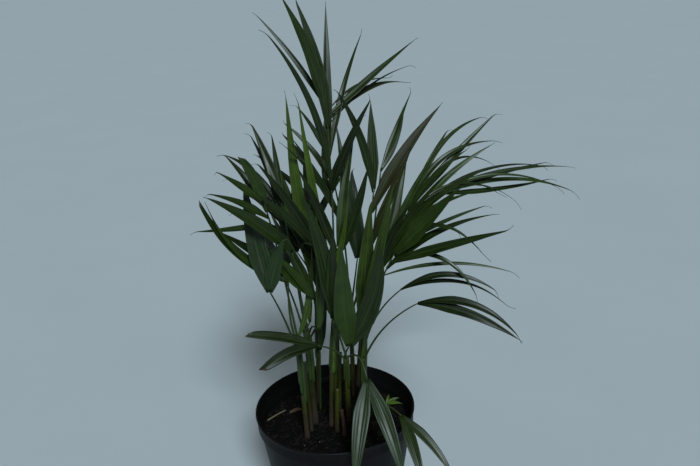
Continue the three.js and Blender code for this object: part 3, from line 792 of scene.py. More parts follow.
def add_tube(builder, line, radii, sides, values, flatten=1.0):
    """A round tube along a line, closed at both ends."""
    tangent, across, over = frames_along(line, np.array([1.0, 0.2, 0.1]))
    angles = np.linspace(0, 2 * math.pi, sides, endpoint=False)
    ring = np.cos(angles)[None, :, None] * across[:, None]
    ring = ring + np.sin(angles)[None, :, None] * over[:, None] * flatten
    grid = line[:, None] + ring * np.asarray(radii)[:, None, None]
    builder.add(grid, values, True, True, True)


LEAF_VALUES = ("tint", "along", "across", "dry", "under", "edge")
WIDE_BLADE = 16
BLADE_ROW = 5
LEAF_SKIN = 0.2
FOLD_DEPTH = 0.42
THREAD_FROM = 0.92
THREAD_HALF = 0.28
DRAWN_FROM = 0.7
CURL_DROP = 2.5
FEWEST_ROWS, MOST_ROWS = 14, 40
WIDE_COLUMNS, SLIM_COLUMNS = 17, 9
RIPPLE_LENGTH = 12
RIPPLE_DEPTH = 0.045
MIDRIB_WIDTH = 0.09
MIDRIB_DEPTH = 0.25
TORN_FROM = 0.86
TORN_DEPTH = 0.35


def blade_half(limb, shares):
    """The real outline: a slim swollen base, a long taper, and a tip drawn out to a thread."""
    half = half_width(shares, limb["width"], limb["cut"])
    if limb["cut"]:
        return half
    drawn = np.clip((shares - DRAWN_FROM) / (THREAD_FROM - DRAWN_FROM), 0, 1)
    half = half * (1.06 - 0.2 * drawn)
    thread = np.clip((shares - THREAD_FROM) / (1 - THREAD_FROM), 0, 1)
    return np.maximum(half * (1 - 0.6 * thread), THREAD_HALF)


def add_blade(builder, limb, look):
    """One blade: a folded, twisted, slightly rippled strip with a skin on both faces."""
    length = limb["length"]
    rows = int(np.clip(length / BLADE_ROW, FEWEST_ROWS, MOST_ROWS))
    shares = np.linspace(0, 1, rows) ** 0.92
    line = line_at(limb, shares)
    tangent, across, over = frames_along(line, limb["side"])
    if not limb["cut"]:
        curl = np.clip((shares - THREAD_FROM) / (1 - THREAD_FROM), 0, 1)[:, None] ** 2
        line = line + (across * look["curl"] + over * 0.6 * look["curl"] - [0, 0, CURL_DROP]) * curl
    twist = look["twist"] * shares ** 1.5 + 0.1 * np.sin(shares * look["waves"] * math.pi + look["phase"])
    cos, sin = np.cos(twist)[:, None], np.sin(twist)[:, None]
    across, over = across * cos + over * sin, over * cos - across * sin
    half = blade_half(limb, shares)
    wide = limb["width"] > WIDE_BLADE
    columns = WIDE_COLUMNS if wide else SLIM_COLUMNS
    x = np.linspace(-1, 1, columns)
    fold = FOLD_DEPTH * (np.sqrt(x ** 2 + 0.004) - 0.5)
    opening = np.clip(1.3 - shares * 0.6, 0, 1)
    depth = fold[None] * half[:, None] * (0.75 + 0.25 * look["fold"]) * opening[:, None]
    if wide:
        pleats = 2.5 + 0.12 * limb["width"]
        lift = 0.1 + 0.012 * limb["width"]
        wave = np.sin(x[None] * math.pi * pleats + look["phase"])
        depth = depth + lift * wave * np.sin(shares * math.pi)[:, None] ** 0.6
    ripple = np.sin(shares * length / RIPPLE_LENGTH + look["phase"])[:, None] * np.abs(x[None]) ** 3
    depth = depth + RIPPLE_DEPTH * ripple * half[:, None]
    thick = LEAF_SKIN * (1 - np.abs(x) ** 6)[None, :, None] + 0.02
    spine = np.exp(-(x / MIDRIB_WIDTH) ** 2)[None, :, None] * MIDRIB_DEPTH * (1 - shares)[:, None, None]
    middle = line[:, None] + across[:, None] * (x[None, :, None] * half[:, None, None])
    middle = middle + over[:, None] * depth[:, :, None]
    if limb["cut"]:
        ragged = look["slant"] * x + 0.35 * np.sin(7.0 * x + look["phase"]) * np.abs(x)
        torn = np.clip((shares - TORN_FROM) / (1 - TORN_FROM), 0, 1)
        tear = ragged[None] * torn[:, None] * limb["width"] * TORN_DEPTH
        middle = middle + tangent[:, None] * tear[:, :, None]
    top = middle + over[:, None] * thick
    bottom = middle - over[:, None] * (thick + spine)
    grid = np.concatenate([top, bottom[:, ::-1]], 1)
    under = np.concatenate([np.zeros(columns), np.ones(columns)])[None]
    spread = np.concatenate([x, x[::-1]])[None]
    values = {
        "tint": look["tint"],
        "along": shares[:, None],
        "across": spread * limb["width"] / 2,
        "dry": look["dry"],
        "under": under,
        "edge": np.abs(spread),
    }
    builder.add(grid, values, True, True, True)


SHEATH_SHARE = 0.62
SHEATH_RADIUS = 2.5
SHEATH_OUT = 0.8
SHEATH_ROWS = 12
STALK_ROWS = 18
STALK_SIDES = 10
# A hair to one side, so that a stalk straight over its cane still has a side to lie on.
SIDE_HAIR = 1e-6


def add_stalk(builder, limb, look, cane):
    """A stalk, which wraps down round its cane as a sheath."""
    shares = np.linspace(0, 1, STALK_ROWS)
    line = line_at(limb, shares)
    radii = STALK_DIAMETER / 2 * (1 - STALK_TAPER * shares)
    height = shares * 0.25 + 0.35
    if cane:
        drop = np.linspace(1, 0, SHEATH_ROWS)[:-1]
        axis = bezier(cane_curve(cane), 1 - SHEATH_SHARE * look["sheath"] * drop)
        root = line[0] - cane_curve(cane)[2]
        out = unit(root * [1, 1, 0] + [0, SIDE_HAIR, 0]) * CANE_DIAMETER / 2 * cane["girth"] * SHEATH_OUT
        blend = drop[:, None] ** 0.5
        sheath = axis + root * (1 - blend) + out * blend
        line = np.concatenate([sheath, line])
        radii = np.concatenate([radii[0] + (SHEATH_RADIUS - radii[0]) * drop ** 0.6, radii])
        radii[0] = radii[0] * 0.5
        height = np.concatenate([0.35 * (1 - drop), height])
    values = {
        "tint": look["tint"],
        "along": height[:, None],
        "across": 0.0,
        "dry": 0.0,
        "under": 0.35,
        "edge": 0.0,
    }
    add_tube(builder, line, radii, STALK_SIDES, values, flatten=0.85)


# ---------------------------------------------------------------- materials

def linear(hex_colour):
    """An sRGB hex value as the linear colour a shader takes."""
    channels = [int(hex_colour[i:i + 2], 16) / 255 for i in (0, 2, 4)]
    return [c / 12.92 if c <= 0.04045 else ((c + 0.055) / 1.055) ** 2.4 for c in channels] + [1.0]


def new_material(name):
    material = bpy.data.materials.new(name)
    material.use_nodes = True
    tree = material.node_tree
    shader = tree.nodes["Principled BSDF"]
    return material, tree, shader


def add(tree, kind, inputs=None, give=0, stops=(), **settings):
    """Adds a node with its settings, colour stops, values and links, and gives one of its outputs."""
    node = tree.nodes.new(kind)
    for key, value in settings.items():
        setattr(node, key, value)
    for key, value in (inputs or {}).items():
        if isinstance(value, bpy.types.NodeSocket):
            tree.links.new(value, node.inputs[key])
        else:
            node.inputs[key].default_value = value
    for number, (spot, colour) in enumerate(stops):
        elements = node.color_ramp.elements
        element = elements[number] if number < 2 else elements.new(spot)
        element.position = spot
        element.color = linear(colour)
    return node.outputs[give]


# Sizes in millimetres of what varies over a leaf: patches, flecks, spots, veins, ribs and streaks.
PATCH_SIZE = 20.833
FLECK_SIZE = 2.0833
SPOT_SIZE = 11.111
VEIN_STEP = 0.9
RIB_STEP = 4.5
STREAK_WIDTH = 2.6
STREAK_RUNS = 9.0
STREAK_CONTRAST = 3.0
STREAK_OFFSET = -1.1
DRY_TIP = "3b3222"
DRY_SPOT = "3b3020"
LEAF_INDEX = 1.46
LEAF_SHINE = 0.36


def leaf_material(name, deep, middle, bright, under, streak, vein_strength, roughness):
    """A palm leaf's skin: wandering green over parallel veins, paler below, dry at old tips."""
    material, tree, shader = new_material(name)
    read = {}
    for label in LEAF_VALUES:
        read[label] = add(tree, "ShaderNodeAttribute", give="Fac", attribute_name=label)
    position = add(tree, "ShaderNodeNewGeometry", give="Position")
    patches = {"Vector": position, "Scale": 1 / (PATCH_SIZE * MM), "Detail": 4.0}
    mottle = add(tree, "ShaderNodeTexNoise", patches)
    flecks = {"Vector": position, "Scale": 1 / (FLECK_SIZE * MM), "Detail": 2.0}
    fine = add(tree, "ShaderNodeTexNoise", flecks)
    tint = add(tree, "ShaderNodeMath", {0: read["tint"], 1: 0.62, 2: -0.08}, operation="MULTIPLY_ADD")
    shade = add(tree, "ShaderNodeMath", {0: mottle, 1: 0.5, 2: tint}, operation="MULTIPLY_ADD")
    green = add(tree, "ShaderNodeValToRGB", {0: shade}, stops=[(0.2, deep), (0.52, middle), (0.92, bright)])
    # Fine veins run side by side, with a stronger rib every fifth one, and fade in and out along the blade.
    turns = []
    for step in (VEIN_STEP, RIB_STEP):
        turn = add(tree, "ShaderNodeMath", {0: read["across"], 1: 2 * math.pi / step}, operation="MULTIPLY")
        turns.append(add(tree, "ShaderNodeMath", {0: turn}, operation="SINE"))
    ribs = add(tree, "ShaderNodeMath", {0: turns[0], 1: 0.4, 2: turns[1]}, operation="MULTIPLY_ADD")
    run = add(tree, "ShaderNodeMath", {0: read["along"], 1: STREAK_RUNS}, operation="MULTIPLY")
    lane = add(tree, "ShaderNodeCombineXYZ", {"X": read["across"], "Y": run, "Z": read["tint"]})
    streaks = add(tree, "ShaderNodeTexNoise", {"Vector": lane, "Scale": 1 / STREAK_WIDTH, "Detail": 3.0})
    shown = {0: streaks, 1: STREAK_CONTRAST, 2: STREAK_OFFSET}
    shown = add(tree, "ShaderNodeMath", shown, operation="MULTIPLY_ADD", use_clamp=True)
    broken = add(tree, "ShaderNodeMath", {0: ribs, 1: shown}, operation="MULTIPLY")
    veined = add(tree, "ShaderNodeMath", {0: broken, 1: vein_strength}, operation="MULTIPLY", use_clamp=True)
    colour = add(tree, "ShaderNodeMix", {0: veined, 6: green, 7: linear(streak)}, give=2, data_type="RGBA")
    # The margins take a paler line of painted highlight, and the midrib a paler line of its own colour.
    rim = add(tree, "ShaderNodeMath", {0: read["edge"], 1: 10.0}, operation="POWER")
    rim = add(tree, "ShaderNodeMath", {0: rim, 1: 0.35}, operation="MULTIPLY")
    colour = add(tree, "ShaderNodeMix", {0: rim, 6: colour, 7: linear(bright)}, give=2, data_type="RGBA")
    inner = add(tree, "ShaderNodeMath", {0: 1.0, 1: read["edge"]}, operation="SUBTRACT")
    inner = add(tree, "ShaderNodeMath", {0: inner, 1: 16.0}, operation="POWER")
    inner = add(tree, "ShaderNodeMath", {0: inner, 1: 0.3}, operation="MULTIPLY")
    colour = add(tree, "ShaderNodeMix", {0: inner, 6: colour, 7: linear(streak)}, give=2, data_type="RGBA")
    below = add(tree, "ShaderNodeMath", {0: read["under"], 1: 0.7}, operation="MULTIPLY")
    colour = add(tree, "ShaderNodeMix", {0: below, 6: colour, 7: linear(under)}, give=2, data_type="RGBA")
    # Old tips go brown, and a few small spots with them.
    reach = add(tree, "ShaderNodeMath", {0: fine, 1: 0.06, 2: read["along"]}, operation="MULTIPLY_ADD")
    tip = add(tree, "ShaderNodeMath", {0: reach, 1: 1.005}, operation="GREATER_THAN")
    tip = add(tree, "ShaderNodeMath", {0: tip, 1: read["dry"]}, operation="MULTIPLY")
    colour = add(tree, "ShaderNodeMix", {0: tip, 6: colour, 7: linear(DRY_TIP)}, give=2, data_type="RGBA")
    spots = {"Vector": position, "Scale": 1 / (SPOT_SIZE * MM)}
    cell = add(tree, "ShaderNodeTexVoronoi", spots, give="Distance")
    spot = add(tree, "ShaderNodeMath", {0: cell, 1: 0.09}, operation="LESS_THAN")
    spot = add(tree, "ShaderNodeMath", {0: spot, 1: read["dry"]}, operation="MULTIPLY")
    colour = add(tree, "ShaderNodeMix", {0: spot, 6: colour, 7: linear(DRY_SPOT)}, give=2, data_type="RGBA")
    tree.links.new(colour, shader.inputs["Base Color"])
    wax = add(tree, "ShaderNodeMath", {0: mottle, 1: 0.3, 2: roughness - 0.15}, operation="MULTIPLY_ADD")
    wax = add(tree, "ShaderNodeMath", {0: read["under"], 1: 0.14, 2: wax}, operation="MULTIPLY_ADD")
    tree.links.new(wax, shader.inputs["Roughness"])
    shader.inputs["IOR"].default_value = LEAF_INDEX
    shader.inputs["Specular IOR Level"].default_value = LEAF_SHINE
    height = add(tree, "ShaderNodeMath", {0: mottle, 1: 0.8, 2: broken}, operation="MULTIPLY_ADD")
    bump = add(tree, "ShaderNodeBump", {"Height": height, "Strength": 0.3, "Distance": 0.00012})
    tree.links.new(bump, shader.inputs["Normal"])
    return material


def grainy_material(name, stops, roughness, shine, grain_mm, relief_mm, stretch=(1, 1, 1)):
    """A surface whose colour, gloss and relief all wander in grains of the given size."""
    material, tree, shader = new_material(name)
    position = add(tree, "ShaderNodeNewGeometry", give="Position")
    mapped = add(tree, "ShaderNodeMapping", {"Vector": position, "Scale": stretch})
    size = 1 / (grain_mm * MM)
    grain = {"Vector": mapped, "Scale": size, "Detail": 6.0, "Roughness": 0.65}
    grain = add(tree, "ShaderNodeTexNoise", grain)
    tree.links.new(add(tree, "ShaderNodeValToRGB", {0: grain}, stops=stops), shader.inputs["Base Color"])
    rough = add(tree, "ShaderNodeMath", {0: grain, 1: 0.2, 2: roughness - 0.1}, operation="MULTIPLY_ADD")
    tree.links.new(rough, shader.inputs["Roughness"])
    shader.inputs["Specular IOR Level"].default_value = shine
    bump = add(tree, "ShaderNodeBump", {"Height": grain, "Strength": 0.6, "Distance": relief_mm * MM})
    tree.links.new(bump, shader.inputs["Normal"])
    return material


# Sizes in millimetres of a cane's fibres, how long they run, and its blotches.
FIBRE_SIZE = 1.42857
FIBRE_STRETCH = 0.05
BLOTCH_SIZE = 16.6667


def cane_material(name):
    """A living cane: green sheath with long fibres, brown and papery towards its foot."""
    material, tree, shader = new_material(name)
    height = add(tree, "ShaderNodeAttribute", give="Fac", attribute_name="along")
    tint = add(tree, "ShaderNodeAttribute", give="Fac", attribute_name="tint")
    position = add(tree, "ShaderNodeNewGeometry", give="Position")
    mapped = add(tree, "ShaderNodeMapping", {"Vector": position, "Scale": (1, 1, FIBRE_STRETCH)})
    fibres = {"Vector": mapped, "Scale": 1 / (FIBRE_SIZE * MM), "Detail": 4.0}
    fibre = add(tree, "ShaderNodeTexNoise", fibres)
    blotches = {"Vector": position, "Scale": 1 / (BLOTCH_SIZE * MM), "Detail": 4.0}
    blotch = add(tree, "ShaderNodeTexNoise", blotches)
    shade = add(tree, "ShaderNodeMath", {0: tint, 1: 0.45, 2: 0.05}, operation="MULTIPLY_ADD")
    shade = add(tree, "ShaderNodeMath", {0: fibre, 1: 0.5, 2: shade}, operation="MULTIPLY_ADD")
    living = [(0.25, "121604"), (0.5, "232909"), (0.85, "424616")]
    brown = [(0.3, "140e08"), (0.7, "332416")]
    green = add(tree, "ShaderNodeValToRGB", {0: shade}, stops=living)
    papery = add(tree, "ShaderNodeValToRGB", {0: fibre}, stops=brown)
    age = add(tree, "ShaderNodeMath", {0: height, 1: -3.0, 2: 0.85}, operation="MULTIPLY_ADD")
    age = add(tree, "ShaderNodeMath", {0: blotch, 1: 0.7, 2: age}, operation="MULTIPLY_ADD", use_clamp=True)
    colour = add(tree, "ShaderNodeMix", {0: age, 6: green, 7: papery}, give=2, data_type="RGBA")
    tree.links.new(colour, shader.inputs["Base Color"])
    rough = add(tree, "ShaderNodeMath", {0: age, 1: 0.35, 2: 0.4}, operation="MULTIPLY_ADD")
    tree.links.new(rough, shader.inputs["Roughness"])
    shader.inputs["Specular IOR Level"].default_value = LEAF_SHINE
    bump = add(tree, "ShaderNodeBump", {"Height": fibre, "Strength": 0.5, "Distance": 0.0003})
    tree.links.new(bump, shader.inputs["Normal"])
    return material


# A mature palm leaf: deep green with a thin wax, so it is dark turned away and gleams where it faces.
MATURE_LEAF = leaf_material("mature_palm_leaf", "0b1503", "172606", "2d4310", "243410", "3d521d", 0.3, 0.4)
# A young palm leaf: thinner and yellower, so it is the brightest green in the clump.
YOUNG_LEAF = leaf_material("young_palm_leaf", "1a2907", "2b3e0b", "465e18", "324613", "526a24", 0.4, 0.42)
# A newly opened pleated leaf: dark green with close folds, which show as fine stripes of light and shade.
PLEATED_LEAF = leaf_material(
    "pleated_palm_leaf", "0a1706", "14250b", "253d16", "203216", "344a24", 0.45, 0.42
)
# A broad hanging leaf: grey-green and satin, with pale lengthwise streaks along its veins whose paleness is a
# painted highlight.
HANGING_LEAF = leaf_material("hanging_palm_leaf", "131f0c", "1c2c14", "2a3d1f", "24341b", "4a5a3c", 0.6, 0.4)
# A leaf flushed with bronze: brown over green and dull, which warms it among its neighbours.
BRONZED_LEAF = leaf_material("bronzed_palm_leaf", "181b04", "282e08", "3b4210", "30370c", "4a511c", 0.4, 0.55)
# Moulded polypropylene: near black and smooth, so only a soft line of light runs round its rim and band.
POT_PLASTIC = grainy_material("black_polypropylene", [(0.3, "080808"), (0.7, "0d0c0c")], 0.5, 0.12, 12, 0.04)
# Bark potting mix: dark of itself, and painted nearly black for the shade inside the pot and between its
# crumbs; it is rough, which breaks up every highlight.
MIX_DARK = grainy_material(
    "bark_potting_mix", [(0.25, "030302"), (0.55, "070605"), (0.85, "100e0b")], 0.95, 0.08, 3.2, 0.9
)
# Bark chips: drier than the mix, so they stand out from it in warm dull browns.
BARK_CHIP = grainy_material(
    "composted_bark_chip", [(0.2, "080605"), (0.6, "130f0b"), (0.9, "261e17")], 0.9, 0.15, 4, 0.3
)
# Perlite: chalky grains that give the mix its few pale specks.
PERLITE = grainy_material("perlite_grain", [(0.2, "77746e"), (0.8, "a3a19b")], 0.9, 0.3, 1, 0.1)
# A dead sheath: dry brown fibre in long strands, matt beside the living canes.
DEAD_SHEATH = grainy_material(
    "dry_sheath_fibre", [(0.2, "1a120d"), (0.5, "33241a"), (0.85, "554233")],
    0.85, 0.2, 1.6, 0.25, (1, 1, 0.08),
)
# A dead stalk: bleached straw, smooth but without shine.
DRY_STALK = grainy_material("bleached_leaf_stalk", [(0.2, "474130"), (0.8, "6e664e")], 0.85, 0.3, 2, 0.15)
# A scrap of dead leaf: papery brown, mottled where it has begun to rot.
DRY_LEAF = grainy_material("dead_leaf_scrap", [(0.2, "2c2019"), (0.8, "4f3d2e")], 0.85, 0.2, 2.5, 0.2)
# A living cane: satin green sheath over a brown papery foot.
CANE_SHEATH = cane_material("palm_cane_sheath")
# The floor: plain pale paint, matt, which leaves only the plant's soft shadow on it.
FLOOR_PAINT = grainy_material("plain_floor_paint", [(0.0, "acb6b9"), (1.0, "b1bbbd")], 0.85, 0.3, 400, 0.01)

LEAF_FINISHES = {"leaf_green": MATURE_LEAF, "leaf_young": YOUNG_LEAF, "leaf_grey": PLEATED_LEAF}
OWN_FINISHES = {
    "leaf_hanging_large": HANGING_LEAF,
    "leaf_bronze": BRONZED_LEAF,
    "leaf_seedling": PLEATED_LEAF,
}


# ---------------------------------------------------------------- the plant

def build_leaves(parts):
    for name, (leaf, stalk, blades) in parts.items():
        builder = Builder(LEAF_VALUES)
        own = rng.uniform(0.15, 0.7)
        add_stalk(builder, stalk, {"tint": own, "sheath": rng.uniform(0.5, 1)}, CANES.get(leaf.get("cane")))
        for blade in blades:
            look = {
                "tint": float(np.clip(own + rng.uniform(-0.3, 0.3), 0, 1)),
                "dry": float(rng.random() < 0.25 or blade["cut"]),
                "twist": rng.uniform(-0.7, 0.7) * (0.4 if blade["width"] > WIDE_BLADE else 1),
                "waves": rng.uniform(1, 3),
                "phase": rng.uniform(0, 2 * math.pi),
                "fold": rng.uniform(-1, 1),
                "curl": rng.uniform(-7, 7),
                "slant": rng.uniform(-1, 1),
            }
            add_blade(builder, blade, look)
        finish = OWN_FINISHES.get(name, LEAF_FINISHES[leaf["slot"]])
        new_piece(name + "_look", builder.points, builder.faces, finish, [name], builder.values)


JOINT_SWELL = 0.07
JOINTS = 3.5
FOOT_BURIED = 4
CANE_ROWS = 48
CANE_SIDES = 20


def build_canes():
    """Each cane has joints where old sheaths ended, and its foot runs down into the mix."""
    for name, cane in CANES.items():
        builder = Builder(("tint", "along"))
        shares = np.linspace(0, 1, CANE_ROWS)
        line = bezier(cane_curve(cane), shares)
        radius = CANE_DIAMETER / 2 * cane["girth"]
        phase = rng.uniform(0, 1)
        joint = JOINT_SWELL * np.clip(1 - ((shares * JOINTS + phase) % 1) * 7, 0, 1)
        swell = CANE_SWELL * np.maximum(0, CANE_SWELL_TOP - shares)
        radii = radius * (1 - CANE_TAPER * shares ** 2 + swell + joint)
        line[0, 2] -= FOOT_BURIED
        values = {"tint": rng.uniform(0, 1), "along": shares[:, None]}
        add_tube(builder, line, radii, CANE_SIDES, values, flatten=rng.uniform(0.84, 0.96))
        dead = name == "dead_sheath"
        finish = DEAD_SHEATH if dead else CANE_SHEATH
        new_piece(name + "_look", builder.points, builder.faces, finish, [name], builder.values)


NOISE_GRID = 64
NOISE_SHIFT = 900


def value_noise(x, y, cell, seed):
    """Smooth random heights over the plane, 0 to 1, on a grid of the given cell."""
    local = np.random.default_rng(seed)
    table = local.random((NOISE_GRID, NOISE_GRID))
    gx, gy = x / cell + NOISE_SHIFT, y / cell + NOISE_SHIFT
    ix, iy = np.floor(gx).astype(int), np.floor(gy).astype(int)
    fx, fy = gx - ix, gy - iy
    fx, fy = fx * fx * (3 - 2 * fx), fy * fy * (3 - 2 * fy)
    left, right = ix % NOISE_GRID, (ix + 1) % NOISE_GRID
    low, high = iy % NOISE_GRID, (iy + 1) % NOISE_GRID
    near = table[left, low] * (1 - fx) + table[right, low] * fx
    far = table[left, high] * (1 - fx) + table[right, high] * fx
    return near * (1 - fy) + far * fy


MIX_RINGS = 60
MIX_SPOKES = 200
MIX_SIDE_ROWS = 6


def mix_height(x, y):
    """The mix's lumpy surface, which sinks a little towards the pot's wall."""
    r = np.hypot(x, y)
    wall = outer_radius(MIX_TOP) - POT_WALL
    crown = MIX_TOP - 1.5 - 3.0 * np.clip((r / wall - 0.75) / 0.25, 0, 1) ** 2
    lumps = 2.2 * value_noise(x, y, 14, 3) + 1.6 * value_noise(x, y, 5, 4)
    lumps = lumps + 1.2 * value_noise(x, y, 2.2, 5)
    return crown + lumps - 2.0


def build_mix():
    builder = Builder(("tint",))
    wall_top = outer_radius(MIX_TOP - 3) - POT_WALL - CLEARANCE
    radii = wall_top * np.linspace(0.004, 1, MIX_RINGS)
    angles = np.linspace(0, 2 * math.pi, MIX_SPOKES, endpoint=False)
    x = radii[:, None] * np.cos(angles)[None]
    y = radii[:, None] * np.sin(angles)[None]
    top = np.stack([x, y, mix_height(x, y)], 2)
    bottom_z = FLOOR_THICKNESS + CLEARANCE
    side_z = np.linspace(MIX_TOP - 8, bottom_z, MIX_SIDE_ROWS)
    side_r = outer_radius(side_z) - POT_WALL - CLEARANCE
    side_x = side_r[:, None] * np.cos(angles)
    side_y = side_r[:, None] * np.sin(angles)
    side = np.stack([side_x, side_y, np.repeat(side_z[:, None], MIX_SPOKES, 1)], 2)
    grid = np.concatenate([top, side])
    builder.add(grid, {"tint": PLAIN_TINT}, True, True, True)
    faces = [tuple(reversed(face)) for face in builder.faces]
    new_piece("potting_mix_look", builder.points, faces, MIX_DARK, ["potting_mix"], builder.values)


CRUMB_CORNERS = np.array(
    [[0, 0, 1], [1, 0, 0.1], [0.2, 1, -0.1], [-1, 0.2, 0.1], [-0.2, -1, 0], [0, 0, -1]], float
)


def crumb(builder, centre, sizes, turn):
    """One rough little lump with uneven corners."""
    corners = CRUMB_CORNERS * rng.uniform(0.7, 1.2, (len(CRUMB_CORNERS), 1)) * sizes
    turned = np.array(Matrix.Rotation(turn[0], 3, "Z") @ Matrix.Rotation(turn[1], 3, "X"))
    corners = corners @ turned.T + centre
    base = len(builder.points)
    builder.points.extend(corners)
    builder.values["tint"].extend([PLAIN_TINT] * len(CRUMB_CORNERS))
    for a, b in ((1, 2), (2, 3), (3, 4), (4, 1)):
        builder.faces.append((base, base + a, base + b))
        builder.faces.append((base + 5, base + b, base + a))


def scatter(name, count, size_range, flatness, material):
    builder = Builder(("tint",))
    wall = outer_radius(MIX_TOP) - POT_WALL - 5
    for _ in range(count):
        radius = wall * math.sqrt(rng.random())
        angle = rng.uniform(0, 2 * math.pi)
        x, y = radius * math.cos(angle), radius * math.sin(angle)
        size = rng.uniform(*size_range)
        z = float(mix_height(np.array(x), np.array(y))) + size * flatness * 0.25
        shape = np.array([size, size * rng.uniform(0.4, 0.8), size * flatness * rng.uniform(0.6, 1.2)])
        crumb(builder, np.array([x, y, z]), shape, (rng.uniform(0, 6.28), rng.uniform(-0.4, 0.4)))
    points, faces, values = builder.points, builder.faces, builder.values
    return new_piece(name, points, faces, material, ["potting_mix"], values, smooth=False)


POT_SIDES = 128
LIP_HALF_WIDTH = 1.6
LIP_HALF_HEIGHT = 1.75
AXIS_GAP = 0.01
DRILL_SIDES = 32


def build_pot():
    """The pot's outline turned round its axis, from its foot up, over the lip and down inside."""
    band = POT_HEIGHT - RIM_BAND
    band_radius = RIM_RADIUS - BAND_INSET
    profile = [(AXIS_GAP, 0.0), (BASE_RADIUS - 3.5, 0.0), (BASE_RADIUS - 2.0, 0.3)]
    profile += [(BASE_RADIUS - 0.9, 1.2), (outer_radius(3.0), 3.0)]
    profile += [(outer_radius(z), z) for z in np.linspace(12, band - 2.5, 14)]
    profile += [(outer_radius(band - 1.2), band - 1.2), (outer_radius(band) + 0.6, band - 0.4)]
    profile += [(band_radius - 0.8, band + 0.4), (band_radius, band + 1.4)]
    profile += [(band_radius, z) for z in np.linspace(band + 4, POT_HEIGHT - 2.4 * LIP, 5)]
    lip_radius, lip_height = RIM_RADIUS - LIP_HALF_WIDTH, POT_HEIGHT - LIP_HALF_HEIGHT
    for angle in np.linspace(-60, 190, 12):
        turn = math.radians(angle)
        out, up = LIP_HALF_WIDTH * math.cos(turn), LIP_HALF_HEIGHT * math.sin(turn)
        profile.append((lip_radius + out, lip_height + up))
    inner = band_radius - POT_WALL - 1
    profile += [(inner, POT_HEIGHT - 2 * LIP), (inner, band + 3)]
    profile += [(outer_radius(band) - POT_WALL + 0.6, band + 0.6)]
    profile += [(outer_radius(z) - POT_WALL, z) for z in np.linspace(band - 1.5, FLOOR_THICKNESS + 2, 12)]
    profile += [(outer_radius(FLOOR_THICKNESS) - POT_WALL - 2, FLOOR_THICKNESS), (AXIS_GAP, FLOOR_THICKNESS)]
    angles = np.linspace(0, 2 * math.pi, POT_SIDES, endpoint=False)
    grid = np.array([[(r * math.cos(a), r * math.sin(a), z) for a in angles] for r, z in profile])
    builder = Builder(("tint",))
    builder.add(grid, {"tint": PLAIN_TINT}, True, True, True)
    points, faces, values = builder.points, builder.faces, builder.values
    pot = new_piece("pot_look", points, faces, POT_PLASTIC, ["pot"], values)
    cutter = Builder(("tint",))
    for i in range(DRAIN_HOLES):
        centre = direction(360 / DRAIN_HOLES * (i + 0.5), 0) * (BASE_RADIUS - DRAIN_RADIUS - DRAIN_INSET)
        turns = np.linspace(0, 2 * math.pi, DRILL_SIDES, endpoint=False)
        ring = np.stack([np.cos(turns), np.sin(turns), np.zeros(DRILL_SIDES)], 1) * DRAIN_RADIUS + centre
        drill = np.stack([ring + [0, 0, -5], ring + [0, 0, FLOOR_THICKNESS + 3]])
        cutter.add(drill, {"tint": PLAIN_TINT}, True, True, True)
    mesh = bpy.data.meshes.new("drill")
    mesh.from_pydata([tuple(p) for p in np.asarray(cutter.points) * MM], [], cutter.faces)
    drill = bpy.data.objects.new("drill", mesh)
    bpy.context.scene.collection.objects.link(drill)
    cut = pot.modifiers.new("drain_holes", "BOOLEAN")
    cut.object = drill
    cut.solver = "EXACT"
    bpy.context.view_layer.update()
    result = bpy.data.meshes.new_from_object(pot.evaluated_get(bpy.context.evaluated_depsgraph_get()))
    pot.modifiers.clear()
    pot.data = result
    bpy.data.objects.remove(drill)


def over_mix(out, heading, lift):
    """A point over the mix, by its share of the mix's radius and its heading."""
    point = direction(heading, 0) * MIX_RADIUS * out
    point[2] = MIX_TOP - 1.0 + lift
    return point


def build_scraps():
    """A dead stick and a curled scrap of dead leaf, lying on the mix."""
    builder = Builder(("tint",))
    start, end = over_mix(0.94, 176, 0.6), over_mix(0.75, 159, 2.4)
    shares = np.linspace(0, 1, 14)[:, None]
    bow = np.array([0.4, 0.6, 1]) * np.sin(shares * math.pi) * 0.7
    line = start + (end - start) * shares + bow
    add_tube(builder, line, 1.3 - 0.35 * shares[:, 0], 8, {"tint": PLAIN_TINT})
    points, faces, values = builder.points, builder.faces, builder.values
    new_piece("fallen_stick_look", points, faces, DRY_STALK, ["fallen_stick"], values)
    builder = Builder(("tint",))
    near, far = over_mix(0.66, 165, 3), over_mix(0.53, 152, 3)
    along = unit(far - near)
    aside = np.cross(along, [0, 0, 1])
    u = np.linspace(-1, 1, 14)[:, None, None]
    v = np.linspace(-1, 1, 9)[None, :, None]
    half_length = np.linalg.norm(far - near) / 2
    reach = np.sqrt(1 - 0.8 * u ** 2)
    lift = 2.2 * (1 - u ** 2) + 1.6 * v ** 2 + 0.4 * np.sin(5 * u)
    sheet = (near + far) / 2 + along * u * half_length + aside * v * reach * 4.2 + np.array([0, 0, 1]) * lift
    skin = np.array([0, 0, 0.2])
    grid = np.concatenate([sheet + skin, (sheet - skin)[:, ::-1]], 1)
    builder.add(grid, {"tint": PLAIN_TINT}, True, True, True)
    points, faces, values = builder.points, builder.faces, builder.values
    new_piece("fallen_leaf_look", points, faces, DRY_LEAF, ["fallen_leaf"], values)


# ---------------------------------------------------------------- room, light and camera

FLOOR_HALF = 60.0
LAMP_ENERGY = 3.3
LAMP_SPREAD = 14
LAMP_AIM = (-0.16, 0.74, -0.66)
LAMP_COLOUR = "e8f5ff"
ROOM_COLOUR = "d3dade"
ROOM_STRENGTH = 0.2
CAMERA_PITCH = 20.8
CAMERA_ROLL = 2.7
CAMERA_PLACE = (0.035, -0.971, 0.860)
SENSOR_WIDTH = 36
LENS_PER_SENSOR = 750 / 700


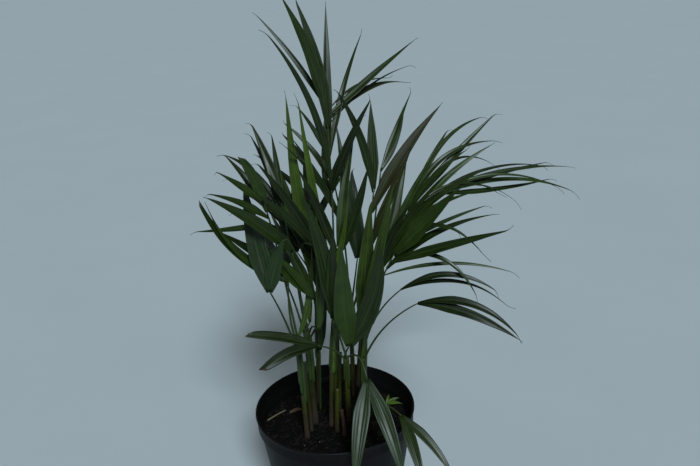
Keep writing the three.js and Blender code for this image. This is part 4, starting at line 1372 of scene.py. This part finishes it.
def build_stage():
    mesh = bpy.data.meshes.new("floor")
    edge = FLOOR_HALF
    corners = [(-edge, -edge, 0), (edge, -edge, 0), (edge, edge, 0), (-edge, edge, 0)]
    mesh.from_pydata(corners, [], [(0, 1, 2, 3)])
    floor = bpy.data.objects.new("floor", mesh)
    bpy.context.scene.collection.objects.link(floor)
    mesh.materials.append(FLOOR_PAINT)


def build_light():
    """One soft lamp from in front and above, and an even pale room."""
    scene = bpy.context.scene
    world = bpy.data.worlds.new("room")
    world.use_nodes = True
    sky = world.node_tree.nodes["Background"]
    sky.inputs["Color"].default_value = linear(ROOM_COLOUR)
    sky.inputs["Strength"].default_value = ROOM_STRENGTH
    scene.world = world
    data = bpy.data.lights.new("lamp", "SUN")
    data.energy = LAMP_ENERGY
    data.angle = math.radians(LAMP_SPREAD)
    data.color = linear(LAMP_COLOUR)[:3]
    lamp = bpy.data.objects.new("lamp", data)
    lamp.rotation_mode = "QUATERNION"
    lamp.rotation_quaternion = Vector(LAMP_AIM).to_track_quat("-Z", "Y")
    scene.collection.objects.link(lamp)
    scene.view_settings.view_transform = "Standard"


def build_camera():
    """Looks down at the plant from the front, rolled a little clockwise."""
    pitch, roll = math.radians(CAMERA_PITCH), math.radians(CAMERA_ROLL)
    forward = np.array([0, math.cos(pitch), -math.sin(pitch)])
    right = np.array([1.0, 0, 0])
    down = np.cross(forward, right)
    image_right = math.cos(roll) * right + math.sin(roll) * down
    image_up = math.sin(roll) * right - math.cos(roll) * down
    data = bpy.data.cameras.new("camera")
    data.sensor_width = SENSOR_WIDTH
    data.lens = SENSOR_WIDTH * LENS_PER_SENSOR
    camera = bpy.data.objects.new("camera", data)
    turn = Matrix((image_right, image_up, -forward)).transposed()
    camera.matrix_world = Matrix.Translation(CAMERA_PLACE) @ turn.to_4x4()
    bpy.context.scene.collection.objects.link(camera)
    bpy.context.scene.camera = camera


plant = grow_plant()
build_pot()
build_mix()
scatter("bark_crumbs", 1100, (1.2, 3.4), 0.5, BARK_CHIP)
scatter("bark_chips", 110, (3.5, 7), 0.35, BARK_CHIP)
scatter("perlite_grains", 26, (0.5, 1.1), 0.8, PERLITE)
build_canes()
build_leaves(plant)
build_scraps()
build_stage()
build_light()
build_camera()
